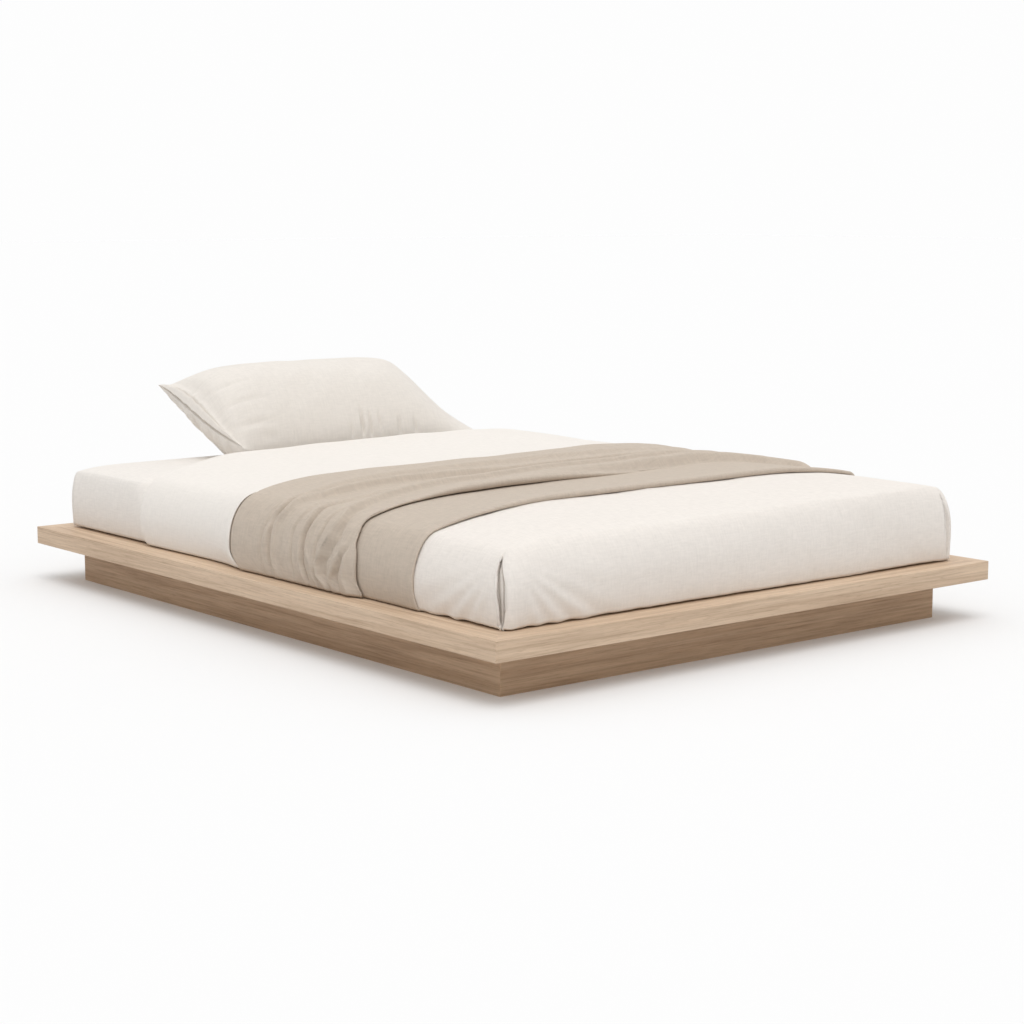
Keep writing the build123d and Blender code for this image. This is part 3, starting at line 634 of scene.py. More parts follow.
# Its head edge as a line of x and y, its thickness at the sides, and the most it has on the top
COVER_HEAD = ((-0.775, 0.565), (-0.60, 0.575), (-0.35, 0.615), (0.60, 0.615), (0.775, 0.600))
COVER_SIDE = 0.0045
COVER_FILL = 0.0200
COVER_GRID = (230, 190)
COVER_RIM = 0.05
# Room left between a cloth and the one below it
CLEARANCE = 0.002
# The slit at a foot corner: the height of its top, half its width, its least opening, and how far its lips
# turn in and over what distance
SLIT_TOP = 0.323
SLIT_HALF = 0.0095
SLIT_LEAST = 0.0002
SLIT_LIP = 0.0040
SLIT_LIP_REACH = 0.0050
# Across the slit from its left lip to its right lip: place and depth
SLIT_PANEL = (
    (-1.0, 0.0040),
    (-0.96, 0.0140),
    (-0.90, 0.0280),
    (-0.70, 0.0290),
    (-0.56, 0.0240),
    (-0.40, 0.0190),
    (-0.10, 0.0165),
    (0.30, 0.0155),
    (0.60, 0.0160),
    (0.74, 0.0190),
    (0.84, 0.0230),
    (0.92, 0.0210),
    (0.97, 0.0120),
    (1.0, 0.0040),
)
# How far the slit leans aside and widens towards its top, and where it stands from each corner's middle
SLIT_LEAN = -0.018
SLIT_WIDER = 0.010
SLIT_SHIFTS = {"left_foot": -0.008, "right_foot": -0.014}
# The dent in the cloth round the top of the slit
PINCH_DEPTH = 0.0030
PINCH_HEIGHT = 0.008
PINCH_WIDTH = 0.012
# Folds that fan out from a point above the slit: angle and width in degrees, and height. They come in and
# fade with distance from that point, and they are weaker high up.
FOLD_CENTRE = 0.335
FAN_STRENGTH = 0.6
FAN_IN = (0.06, 0.15)
FAN_OUT = (0.24, 0.42)
FAN_HIGH = (0.19, 0.29)
LEFT_FOLDS = (
    (16, 4, 0.0016),
    (25, 3, -0.0026),
    (32, 3, 0.0034),
    (39, 3, -0.0038),
    (45, 2.6, 0.0036),
    (51, 2.6, -0.0036),
    (57, 2.6, 0.0034),
    (63, 2.6, -0.0026),
    (70, 3, 0.0018),
)
FOOT_FOLDS = (
    (15, 4, 0.0014),
    (23, 3, -0.0026),
    (30, 3, 0.0036),
    (37, 3, -0.0042),
    (43, 2.6, 0.0042),
    (49, 2.6, -0.0042),
    (55, 2.4, 0.0038),
    (60, 2.4, -0.0032),
    (66, 2.4, 0.0024),
    (72, 3, -0.0016),
)
# Small gathers along the hem, and how far from the corner they fade
GATHER_HEIGHT = 0.0018
GATHER_SIZE = 0.034
GATHER_FADE = 0.30
# Unevenness of laid cloth, broad and fine: height and size
CLOTH_NOISE = ((0.0016, 0.34), (0.0006, 0.11))


def slit_corner(corner):
    """A foot corner whose cloth parts in a lens-shaped slit over a folded-in panel."""
    panel_places, panel_depths = (np.array(values) for values in zip(*SLIT_PANEL))
    outside = np.linspace(0, 1, 26)[1:] ** 1.7
    half = corner_facts(COVER, corner)[2]
    shift = SLIT_SHIFTS[corner]
    height = corner_wall(COVER, corner, np.full((1, 1), shift))[:, 0, 2][:, None]
    rise = np.clip((height - DECK_TOP) / (SLIT_TOP - DECK_TOP), 0, 1)
    share = np.sin(pi * rise**0.9) ** 0.50
    shift = shift + SLIT_LEAN * smoothstep(rise, 0.30, 1.0)
    extra = SLIT_WIDER * smoothstep(rise, 0.35, 0.75) * share
    shift = shift + extra / 2
    opening = np.maximum(SLIT_HALF * share + extra / 2, SLIT_LEAST)
    left = shift - opening - (half + shift - opening) * outside[::-1]
    right = shift + opening + (half - shift - opening) * outside
    places = np.concatenate([left, shift + panel_places * opening, right], axis=1)
    points = corner_wall(COVER, corner, places)
    across = (places - shift) / opening
    away = np.maximum(np.abs(places - shift) - opening, 0)
    inside = np.interp(across, panel_places, panel_depths) * np.minimum(share * 1.6, 1)
    lips = SLIT_LIP * np.exp(-away / SLIT_LIP_REACH) * np.sqrt(share)
    depth = np.where(np.abs(across) <= 1.0001, inside, lips)
    above = ((height - SLIT_TOP) / PINCH_HEIGHT) ** 2
    pinch = PINCH_DEPTH * np.exp(-above - ((places - shift) / PINCH_WIDTH) ** 2)
    (side_x, side_y), _, _ = CORNERS[corner]
    inward = -np.array([side_x, side_y, 0]) / 2**0.5
    return points + (depth + pinch)[..., None] * inward, half


def fan_folds(reach, z, folds):
    """Soft folds that run out from the top of the slit to the hem."""
    down = FOLD_CENTRE - z
    angle = np.degrees(np.arctan2(reach, np.maximum(down, 1e-4)))
    distance = np.hypot(reach, down)
    total = 0
    for place, width, height in folds:
        total = total + height * np.exp(-(((angle - place) / width) ** 2))
    low = 0.35 + 0.65 * (1 - smoothstep(z, *FAN_HIGH))
    total = FAN_STRENGTH * low * total * smoothstep(distance, *FAN_IN)
    return total * (1 - smoothstep(distance, *FAN_OUT))


def hem_gathers(reach, z, seed):
    low = 1 - smoothstep(z, DECK_TOP + 0.004, DECK_TOP + 0.055)
    fade = 0.25 + 0.75 * np.exp(-reach / GATHER_FADE)
    return GATHER_HEIGHT * low * fade * ripple(reach, z * 0.25, GATHER_SIZE, seed)


def cloth_noise(points, seed):
    u, v = points[..., 0] + points[..., 2] * 0.6, points[..., 1] + points[..., 2] * 0.8
    total = 0
    for number, (height, size) in enumerate(CLOTH_NOISE):
        total = total + height * ripple(u, v, size, seed + number)
    return total


def make_coverlet():
    top = top_grid(COVER, lambda x: curve(x, COVER_HEAD), *COVER_GRID)
    left_y, right_y, foot_x = top[:, 0, 1], top[::-1, -1, 1], top[-1, :, 0]
    near, near_half = slit_corner("left_foot")
    far, far_half = slit_corner("right_foot")
    left, right = side_wall(COVER, -1, left_y), side_wall(COVER, 1, right_y)
    foot = end_wall(COVER, -1, foot_x)
    # Each folded strip: its distances from a corner, its folds, the seed of its gathers, and its strength
    folded = (
        (left, left_y - left_y[-1] + near_half, LEFT_FOLDS, 21, 1.0),
        (foot, foot_x - foot_x[0] + near_half, FOOT_FOLDS, 22, 1.0),
        (foot, foot_x[-1] - foot_x + far_half, FOOT_FOLDS, 24, 0.12),
        (right, right_y - right_y[0] + far_half, LEFT_FOLDS, 23, 0.6),
    )
    row = np.arange(WALL_ROWS)[:, None]
    steady = smoothstep(row, 0, 6) * (1 - smoothstep(row, HEM_ROW - 2, HEM_ROW))
    lifts = {}
    for strip, reach, folds, seed, strength in folded:
        z = strip[..., 2]
        spread = np.broadcast_to(reach, z.shape)
        lift = fan_folds(spread, z, folds) + hem_gathers(spread, z, seed)
        lifts[id(strip)] = lifts.get(id(strip), 0) + strength * lift
    walls, lift = [], []
    for strip in (left, near, foot, far, right):
        part = slice(0 if not walls else 1, None)
        walls.append(strip[:, part])
        extra = lifts.get(id(strip), np.zeros(strip.shape[:2]))
        lift.append(extra[:, part])
    walls, lift = np.concatenate(walls, axis=1), np.concatenate(lift, axis=1)
    walls = moved(walls, (lift + cloth_noise(walls, 11)) * steady)
    inner = np.minimum(top[..., 0] - top[:, :1, 0], top[:, -1:, 0] - top[..., 0])
    before = top[..., 1] - top[-1:, :, 1]
    rim = np.minimum(smoothstep(before, 0, COVER_RIM), smoothstep(inner, 0, COVER_RIM))
    top = moved(top, cloth_noise(top, 11) * rim)
    beneath = crown_height(SHEET, top[..., 0], top[..., 1])
    fill = np.clip(top[..., 2] - beneath - CLEARANCE, COVER_SIDE, COVER_FILL) / COVER_FILL
    thin = np.full(walls.shape[:2], COVER_SIDE / COVER_FILL)
    piece = make_piece(
        "coverlet_cloth",
        [(top, top_uv(top)), (walls, wall_uv(walls))],
        coverlet_cloth,
        [fill, thin],
    )
    thicken(piece, COVER_FILL, -1.0, "thickness")
    return piece


# Fitted sheet and mattress

FITTED_GRID = (220, 130)
FITTED_CORNER = 17
FITTED_THICK = 0.0009
FITTED_GATHER = 0.0014
FITTED_GATHER_SIZE = 0.045
MATTRESS_GRID = (130, 90)
MATTRESS_CORNER = 13
MATTRESS_FLOOR_ROWS = 12


def closed_walls(form, top, corner_steps):
    """The four sides and corners of a form, starting at the head of its left side."""
    sides = {
        "left_foot": side_wall(form, -1, top[:, 0, 1]),
        "right_foot": end_wall(form, -1, top[-1, :, 0]),
        "right_head": side_wall(form, 1, top[::-1, -1, 1]),
        "left_head": end_wall(form, 1, top[0, ::-1, 0]),
    }
    loop = []
    for corner, strip in sides.items():
        half = corner_facts(form, corner)[2]
        places = np.linspace(-half, half, corner_steps)[None, :]
        loop += [strip, corner_wall(form, corner, places)]
    return np.concatenate([loop[0]] + [strip[:, 1:] for strip in loop[1:]], axis=1)


def make_fitted_sheet():
    top = top_grid(SHEET, None, *FITTED_GRID)
    walls = closed_walls(SHEET, top, FITTED_CORNER)
    row = np.arange(WALL_ROWS)[:, None]
    steady = smoothstep(row, 4, 12) * (1 - smoothstep(row, HEM_ROW - CURL_ROWS, HEM_ROW))
    low = 1 - smoothstep(walls[..., 2], DECK_TOP, DECK_TOP + 0.07)
    around = walls[..., 0] + walls[..., 1]
    gathers = FITTED_GATHER * ripple(around, walls[..., 2] * 0.2, FITTED_GATHER_SIZE, 41)
    bare = smoothstep(walls[..., 1], HEAD_START, HEAD_FULL)
    walls = moved(walls, (gathers * low + 0.5 * cloth_noise(walls, 42)) * steady * bare)
    piece = make_piece("fitted_sheet_cloth", [(top, top_uv(top)), (walls, wall_uv(walls))], fitted_cloth)
    thicken(piece, FITTED_THICK)
    return piece


def make_mattress():
    inner = SHEET._replace(
        width=SHEET.width - MATTRESS_INSET,
        head_width=SHEET.head_width - MATTRESS_INSET,
        length=SHEET.length - MATTRESS_INSET,
        middle=SHEET.middle - MATTRESS_INSET,
        head_middle=SHEET.head_middle - MATTRESS_INSET,
        hem=SHEET.hem + MATTRESS_HEM_LIFT,
    )
    top = top_grid(inner, None, *MATTRESS_GRID)
    walls = closed_walls(inner, top, MATTRESS_CORNER)
    rim = walls[-1]
    middle = np.array([0, 0, rim[0, 2]])
    floor = middle + (rim[None] - middle) * np.linspace(1, 0, MATTRESS_FLOOR_ROWS)[:, None, None]
    return make_piece(
        "mattress_form",
        [(top, top_uv(top)), (walls, wall_uv(walls)), (floor, top_uv(floor))],
        ticking,
    )


# Bands that lie across the bed and hang down both sides

BAND_TOP_COLUMNS = 131


def band_places():
    """Each column of a band: its side, and its place on the top or its row of the wall."""
    top = [("top", share) for share in np.linspace(0, 1, BAND_TOP_COLUMNS)]
    rows = wall_rows()[1:-TUCK_ROWS + 1]
    return [("left", row) for row in rows[::-1]] + top + [("right", row) for row in rows]


PLACES = band_places()


def band_base(y):
    """Points of the coverlet's outer side at y, which has one column per place, from hem to hem."""
    points = np.zeros(y.shape + (3,))
    left = -(COVER.width - COVER_LEFT[WIDTH])
    right = COVER.width - COVER_RIGHT[WIDTH]
    for column, (kind, place) in enumerate(PLACES):
        along = y[:, column]
        if kind == "top":
            x = left + (right - left) * place + 0.0 * along
            points[:, column] = np.stack([x, along, crown_height(COVER, x, along)], axis=-1)
        elif kind == "left":
            points[:, column] = wall_row(COVER, COVER_LEFT, place, left, along, -1, 0)
        else:
            points[:, column] = wall_row(COVER, COVER_RIGHT, place, right, along, 1, 0)
    return points


# The line from hem to hem at the middle of the bed, and distances along it from the bed's middle
LINE = band_base(np.zeros((1, len(PLACES))))[0]
ACROSS = np.concatenate([[0], np.cumsum(np.linalg.norm(np.diff(LINE, axis=0), axis=1))])
ACROSS = ACROSS - ACROSS[np.argmin(np.abs(LINE[:, 0]))]
HEM_GAP = np.minimum(ACROSS - ACROSS[0], ACROSS[-1] - ACROSS)
NORMAL_STEPS = np.linspace(-0.95, 0.75, 90)


def band_normals(y):
    """Outward directions of the coverlet's side at y."""
    spread = NORMAL_STEPS[:, None] + np.zeros((1, len(PLACES)))
    field = -normals_of(band_base(spread))
    place = (y - NORMAL_STEPS[0]) / (NORMAL_STEPS[-1] - NORMAL_STEPS[0]) * (len(NORMAL_STEPS) - 1)
    low = np.clip(np.floor(place).astype(int), 0, len(NORMAL_STEPS) - 2)
    share = np.clip(place - low, 0, 1)[..., None]
    columns = np.arange(len(PLACES))[None, :]
    chosen = field[low, columns] * (1 - share) + field[low + 1, columns] * share
    chosen[..., 2] = np.maximum(chosen[..., 2], 0)
    chosen[..., 0] = chosen[..., 0] + 1e-3 * np.sign(LINE[:, 0])
    return chosen / np.linalg.norm(chosen, axis=-1, keepdims=True)


def band_uv(y, offset):
    steps = np.hypot(np.diff(y, axis=0), np.diff(offset, axis=0))
    along = np.concatenate([np.zeros((1, y.shape[1])), np.cumsum(steps, axis=0)])
    return np.stack([np.broadcast_to(ACROSS, y.shape), along], axis=-1)


def lay_band(name, y, offset, height, material, thickness):
    """A cloth that stands off the coverlet's outer side by its height at each point."""
    points = band_base(y) + band_normals(y) * height[..., None]
    piece = make_piece(name, [(points, band_uv(y, offset))], material)
    thicken(piece, thickness, 0.0)
    return piece


# Top sheet, turned down over the coverlet's head edge

# Edges are lines of x and y. An edge drifts along the bed as it nears the hem, by its flare.
THROW_HEAD = ((-0.775, 0.099), (-0.70, 0.078), (-0.40, 0.054), (0.05, 0.046), (0.50, 0.098), (0.77, 0.098))
HEAD_FLARE = 0.045
SHEET_CREST = ((-0.785, 0.579), (-0.70, 0.584), (-0.45, 0.628), (0.60, 0.634), (0.77, 0.620))
CREST_FLARE = 0.030
FLARE_REACH = 0.060
SHEET_FOOT = 0.03
# How high the crest stands, as a line of x and height
SHEET_RISE = (
    (-0.78, 0.0055),
    (-0.66, 0.0045),
    (-0.40, 0.0120),
    (0.25, 0.0200),
    (0.50, 0.0190),
    (0.77, 0.0030),
)
SHEET_LIFT = 0.0022
SHEET_THICK = 0.0014
SHEET_TURN_UNDER = 0.05
SHEET_WAVES = 0.0018
SHEET_WAVE_SIZE = 0.20
# Where the sheet puffs over the throw's edge at the sides: the puff's height, how soon it sinks again, and
# its steps along the bed and up, in shares of the puff
SHEET_LIP = 0.0175
LIP_FADE = 0.07
LIP_STEPS = (
    (-0.006, 0.0),
    (0.004, 0.0),
    (0.005, 0.25),
    (0.004, 0.55),
    (0.002, 0.76),
    (-0.002, 0.83),
    (-0.0045, 0.88),
    (-0.0050, 0.93),
    (-0.0035, 0.98),
    (0.001, 1.0),
    (0.008, 1.0),
    (0.015, 0.96),
    (0.024, 0.88),
)


def flare(size):
    """How far an edge drifts along the bed as it nears the hem."""
    return size * (1 - smoothstep(HEM_GAP, 0.00, FLARE_REACH))


def throw_head():
    return curve(LINE[:, 0], THROW_HEAD) - flare(HEAD_FLARE)


def make_top_sheet():
    x = LINE[:, 0]
    crest = curve(x, SHEET_CREST) - flare(CREST_FLARE)
    rise = curve(x, SHEET_RISE)
    pressed = throw_head()
    side = smoothstep(np.abs(x), 0.62, 0.775)
    lip = SHEET_LIP * smoothstep(np.abs(ACROSS), 0.62, 0.76)
    filled = COVER_SIDE + (COVER_FILL - COVER_SIDE) * (1 - side)
    bend = (SHEET_LIFT + rise + filled + CLEARANCE) / 2
    rows = []
    for share in np.linspace(0, 0.85, 8):
        rows.append((SHEET_FOOT + (pressed - SHEET_FOOT) * share, SHEET_LIFT + 0.0 * x))
    for step, up in LIP_STEPS:
        rows.append((pressed + step, SHEET_LIFT + lip * up))
    start, height = pressed + LIP_STEPS[-1][0], lip * LIP_STEPS[-1][1]
    for share in np.linspace(0, 1, 70)[1:]:
        y = start + (crest - start) * share
        fade = np.exp(-(y - start) / LIP_FADE)
        rows.append((y, SHEET_LIFT + height * fade * (1 - share) + rise * smoothstep(share, 0.20, 1.0)))
    for turn in np.linspace(0, pi, 17)[1:]:
        rows.append((crest + bend * np.sin(turn), SHEET_LIFT + rise - bend * (1 - np.cos(turn))))
    for back in np.linspace(0, SHEET_TURN_UNDER, 4)[1:]:
        rows.append((crest - back, SHEET_LIFT + rise - 2 * bend))
    y, offset = (np.array(values) for values in zip(*rows))
    base = band_base(y)
    waves = SHEET_WAVES * ripple(base[..., 0], base[..., 1], SHEET_WAVE_SIZE, 51) * (1 - 0.5 * side)
    return lay_band("top_sheet_cloth", y, offset, offset + waves, sheet_cloth, SHEET_THICK)


# Throw, folded in two so that its fold lies towards the head

# The front edges of the upper layer and of the lower one
THROW_UPPER = (
    (-0.779, -0.474),
    (-0.765, -0.458),
    (-0.740, -0.450),
    (-0.600, -0.446),
    (-0.420, -0.436),
    (-0.220, -0.422),
    (-0.080, -0.410),
    (0.100, -0.412),
    (0.300, -0.394),
    (0.480, -0.362),
    (0.600, -0.380),
    (0.700, -0.470),
    (0.770, -0.560),
)
UPPER_FLARE = 0.030
THROW_FOOT = (
    (-0.785, -0.697),
    (-0.66, -0.703),
    (-0.30, -0.660),
    (0.20, -0.650),
    (0.50, -0.640),
    (0.77, -0.690),
)
FOOT_FLARE = 0.015
THROW_THICK = 0.0036
THROW_GAP = 0.0010
EDGE_LIFT = 0.0030
# How high the front edges of both layers roll, and how far the upper layer swells behind the head fold
ROLL_HEIGHT = (
    (-0.775, 0.0030),
    (-0.62, 0.0050),
    (-0.40, 0.0170),
    (0.10, 0.0280),
    (0.45, 0.0280),
    (0.77, 0.0160),
)
FOOT_ROLL = ((-0.775, 0.0030), (-0.62, 0.0050), (-0.30, 0.0120), (0.50, 0.0130), (0.77, 0.0060))
HEAD_SWELL = ((-0.775, 0.0010), (-0.60, 0.0025), (-0.20, 0.0035), (0.77, 0.0040))
# The upper layer's front edge stands off the lower one by a gap and is turned under. Towards the right it
# melts into the lower layer.
EDGE_GAP = 0.0038
EDGE_TURN = 0.012
EDGE_UNDER = 0.030
EDGE_MELTS = (-0.34, 0.30)
MELT_DEPTH = 0.0012
# How far back from an edge its shape reaches: the melted slope and its sinking, the two rolls, the head fold
FRONT_SLOPE = 0.034
FRONT_SINK = 0.050
FRONT_MOUND = 0.15
FOOT_MOUND = 0.10
HEAD_ROUND = 0.025
THROW_WAVES = 0.0012
THROW_WAVE_SIZE = 0.24
# Folds of the upper layer, each a line of distance across the bed and y, with its width and height down the
# side, its width and height on the top, and its lean there
THROW_FOLDS = (
    (
        ((-0.92, -0.136), (-0.86, -0.121), (-0.79, -0.118), (-0.74, -0.142), (-0.66, -0.176),
         (-0.45, -0.205), (-0.10, -0.250), (0.25, -0.235), (0.75, -0.185)),
        (0.0065, 0.0060), (0.020, 0.0200), -0.45,
    ),
    (
        ((-0.91, -0.084), (-0.86, -0.076), (-0.82, -0.080), (-0.77, -0.099), (-0.70, -0.112),
         (-0.40, -0.090), (0.75, -0.050)),
        (0.0060, 0.0040), (0.026, 0.0130), -0.40,
    ),
    (
        ((-0.92, -0.268), (-0.86, -0.245), (-0.81, -0.239), (-0.75, -0.248), (-0.66, -0.276),
         (-0.45, -0.287), (-0.10, -0.300), (0.75, -0.220)),
        (0.0060, 0.0070), (0.011, 0.0060), -0.30,
    ),
    (
        ((-0.92, -0.322), (-0.88, -0.297), (-0.83, -0.272), (-0.79, -0.275), (-0.73, -0.297)),
        (0.0050, 0.0055), (0.010, 0.0), 0.0,
    ),
    (
        ((-0.92, -0.362), (-0.88, -0.329), (-0.86, -0.323), (-0.83, -0.341), (-0.79, -0.367),
         (-0.75, -0.380), (-0.70, -0.374), (-0.60, -0.352), (-0.30, -0.352), (0.10, -0.318), (0.75, -0.250)),
        (0.0070, 0.0115), (0.016, 0.0170), -0.35,
    ),
    (
        ((-0.92, -0.392), (-0.89, -0.382), (-0.85, -0.400), (-0.82, -0.424), (-0.79, -0.446)),
        (0.0070, 0.0100), (0.010, 0.0), 0.0,
    ),
    (
        ((-0.92, -0.452), (-0.88, -0.436), (-0.84, -0.440), (-0.80, -0.452)),
        (0.0060, 0.0050), (0.010, 0.0), 0.0,
    ),
)
# The side stands off the mattress by a puff, so that creases can sink between the folds, down to the
# deepest. Near the hem it kicks out, and the last of it tucks in again.
SIDE_PUFF = 0.0105
CREASE_DEEPEST = 0.0150
HEM_KICK = 0.0050
HEM_TUCK = 0.0090
TUCK_REACH = 0.018
# Creases down the side, each a line of distance across the bed and y, with its width and depth
THROW_CREASES = (
    (((-0.92, -0.112), (-0.86, -0.097), (-0.79, -0.094), (-0.74, -0.118), (-0.66, -0.150)), 0.0070, 0.0140),
    (((-0.92, -0.160), (-0.86, -0.145), (-0.79, -0.142), (-0.74, -0.166), (-0.66, -0.198)), 0.0160, 0.0040),
    (((-0.92, -0.282), (-0.86, -0.257), (-0.81, -0.251), (-0.75, -0.262), (-0.66, -0.290)), 0.0052, 0.0150),
    (((-0.92, -0.378), (-0.88, -0.350), (-0.855, -0.350), (-0.83, -0.370), (-0.79, -0.393)), 0.0110, 0.0135),
    (((-0.92, -0.418), (-0.88, -0.404), (-0.84, -0.420), (-0.80, -0.440), (-0.77, -0.450)), 0.0075, 0.0120),
    (((-0.92, -0.062), (-0.86, -0.056), (-0.82, -0.060), (-0.77, -0.078), (-0.70, -0.092)), 0.0060, 0.0045),
    (((-0.92, -0.218), (-0.86, -0.202), (-0.80, -0.198), (-0.74, -0.216), (-0.66, -0.246)), 0.0055, 0.0065),
    (((-0.92, -0.330), (-0.88, -0.309), (-0.83, -0.306), (-0.77, -0.322), (-0.70, -0.342)), 0.0050, 0.0070),
)


def fold_height(y, line, width, height, lean):
    """A rounded fold along a line, steeper on one side where it leans."""
    gap = y - line
    size = width * np.where(gap > 0, 1 - lean, 1 + lean)
    return height * np.exp(-((gap / size) ** 2))


def joined(heights):
    """Folds that meet run into one another instead of adding up."""
    return sum(height**3 for height in heights) ** (1 / 3)


def throw_folds(y):
    """How far the upper layer stands up in folds, on the top and down the side."""
    top = smoothstep(ACROSS, -0.82, -0.62)
    calm = (1 - smoothstep(ACROSS, 0.68, 0.86)) * (1 - 0.55 * smoothstep(ACROSS, 0.35, 0.62))
    hem = 0.25 + 0.75 * smoothstep(ACROSS, -0.925, -0.885)
    skirt = HEM_KICK * (1 - smoothstep(ACROSS, -0.935, -0.87))
    skirt = skirt - HEM_TUCK * (1 - smoothstep(ACROSS - ACROSS[0], 0.0, TUCK_REACH))
    raised = []
    for stops, side, flat, lean in THROW_FOLDS:
        width = side[0] + (flat[0] - side[0]) * top
        height = (side[1] + (flat[1] - side[1]) * top) * calm * hem
        raised.append(fold_height(y, curve(ACROSS, stops), width, height, lean * top))
    sunk = 0.0
    for stops, width, depth in THROW_CREASES:
        sunk = sunk + fold_height(y, curve(ACROSS, stops), width, depth, 0.0)
    sunk = CREASE_DEEPEST * np.tanh(sunk / CREASE_DEEPEST)
    down = 1 - smoothstep(ACROSS, -0.78, -0.64)
    return joined(raised) + (SIDE_PUFF - sunk * hem) * down + skirt


def make_throw():
    """Rows from the lower layer's front edge to the head fold, and back to the upper layer's front edge."""
    x = LINE[:, 0]
    head = throw_head()
    upper = curve(x, THROW_UPPER) - flare(UPPER_FLARE)
    foot = curve(x, THROW_FOOT) - flare(FOOT_FLARE)
    roll = curve(x, ROLL_HEIGHT)
    foot_roll = curve(x, FOOT_ROLL)
    foot_radius = foot_roll / 2
    head_swell = curve(x, HEAD_SWELL)
    on_side = smoothstep(np.abs(x), 0.66, 0.775)
    head_lift = EDGE_LIFT * (1 - 0.8 * on_side)
    under = THROW_GAP + THROW_THICK / 2
    over = under + THROW_THICK + THROW_GAP
    bend = (over - under) / 2
    flat = 0.0 * x
    soft = smoothstep(x, *EDGE_MELTS)
    edge_gap = EDGE_GAP * (0.6 + 0.4 * on_side) * (1 - soft)
    edge_radius = np.maximum(roll * (1 - soft) - edge_gap, 0) / 2
    sink = soft * (over - under + MELT_DEPTH)
    rows = [(foot + EDGE_TURN, under + flat, flat)]
    for turn in np.linspace(pi, 0, 13):
        rows.append((foot - foot_radius * np.sin(turn), under + foot_radius * (1 + np.cos(turn)), flat))
    for share in np.linspace(1, 0, 130)[1:]:
        y = head + (foot - head) * share
        swell = foot_roll * (1 - smoothstep(y - foot, 0.0, FOOT_MOUND))
        swell = swell + head_lift * (1 - smoothstep(head - y, 0.0, HEAD_ROUND))
        rows.append((y, under + swell, flat))
    for turn in np.linspace(0, pi, 9)[1:-1]:
        rows.append((head + bend * np.sin(turn), under + head_lift + bend * (1 - np.cos(turn)), flat))
    for share in np.linspace(0, 1, 260):
        y = head + (upper - head) * share
        gap, back = y - upper, head - y
        front = 1 - soft * (1 - smoothstep(gap, 0.0, FRONT_SLOPE))
        mound = roll * front * (1 - 0.9 * smoothstep(gap, 0.0, FRONT_MOUND))
        mound = mound + head_lift * (1 - smoothstep(back, 0.0, HEAD_ROUND))
        mound = mound - sink * (1 - smoothstep(gap, 0.0, FRONT_SINK))
        swell = head_swell * smoothstep(back, 0.0, 0.035) * (1 - smoothstep(back, 0.035, 0.16))
        lift = throw_folds(y) * smoothstep(gap, 0.0, 0.05) * smoothstep(back, 0.004, 0.03)
        rows.append((y, over + mound, swell + lift))
    for turn in np.linspace(0, pi, 13)[1:]:
        height = over - sink + edge_gap + edge_radius * (1 + np.cos(turn))
        rows.append((upper - edge_radius * np.sin(turn), height, flat))
    rows.append((upper + EDGE_TURN, over - sink + 0.8 * edge_gap, flat))
    rows.append((upper + EDGE_UNDER, over - sink, flat))
    y, offset, raised = (np.array(values) for values in zip(*rows))
    over_sheet = 1.1 * SHEET_LIFT * smoothstep(y, SHEET_FOOT - 0.03, SHEET_FOOT + 0.01)
    waves = THROW_WAVES * (1 + ripple(x + 0.0 * y, y, THROW_WAVE_SIZE, 61))
    height = offset + raised + over_sheet + waves * (raised > 0)
    return lay_band("throw_cloth", y, offset, height, throw_cloth, THROW_THICK)


# Pillow

# Its front and back edges as y and z. It rests on the mattress from its toe to its heel.
PILLOW_HALF = 0.450
PILLOW_FRONT = (0.674, 0.378)
PILLOW_BACK = (1.058, 0.561)
PILLOW_BASE = 0.3548
PILLOW_TOE = 0.705
PILLOW_HEEL = 0.880
PILLOW_FULL = 0.155
# How far the seam draws in between the ends, and how far the underside hangs below the slope at the back
PILLOW_NIP = 0.018
UNDER_DROP = 0.006
# How far the left end's seam bows up, and more so in front, and the rounding of both front corners
END_BOW = 0.030
FRONT_BOW = 0.022
FRONT_ROUND = 0.060
# The stitched band along the left end, its stitch line, and the valley beside it
BAND = 0.012
BAND_HEIGHT = 0.0050
STITCH_DEPTH = 0.0065
STITCH_WIDTH = 0.0022
VALLEY_DEPTH = 0.011
VALLEY_PLACE = 0.027
VALLEY_WIDTH = 0.015
# The left end's panel below the seam: the groove under the band, and how soon the panel falls away
GROOVE_DEPTH = 0.013
PANEL_START = 0.0014
PANEL_FALL = 0.006
# Unevenness of the top, beside the band and on the panel: height and size
TOP_UNEVEN = (0.0022, 0.12)
BAND_UNEVEN = (0.0016, 0.030)
PANEL_UNEVEN = (0.0095, 0.030)
# Columns stand closer together at the left end, and they are even from there on
NEAR_END = 0.036
FAR_END = 0.87
# Short creases in the case: middle along, place across from front to back, half lengths, depth
PILLOW_CREASES = (
    (-0.385, 0.22, 0.045, 0.035, 0.0018),
    (-0.370, -0.10, 0.055, 0.040, 0.0022),
    (-0.345, -0.42, 0.060, 0.045, 0.0030),
    (-0.320, -0.72, 0.050, 0.050, 0.0035),
    (-0.280, -0.88, 0.030, 0.050, 0.0030),
    (0.062, -0.84, 0.0065, 0.12, 0.0150),
    (0.092, -0.87, 0.0065, 0.10, 0.0130),
    (0.128, -0.86, 0.0065, 0.09, 0.0090),
    (-0.190, -0.92, 0.008, 0.06, 0.0035),
    (0.200, -0.90, 0.0070, 0.08, 0.0090),
    (0.262, -0.90, 0.0070, 0.07, 0.0090),
    (0.020, -0.92, 0.0065, 0.06, 0.0070),
)


def soft_max(values, soft):
    total = 0
    for value in values:
        total = total + np.exp(np.clip(value / soft, -600, 600))
    return soft * np.log(total)


def hump(place, width):
    return np.exp(-((place / width) ** 2))


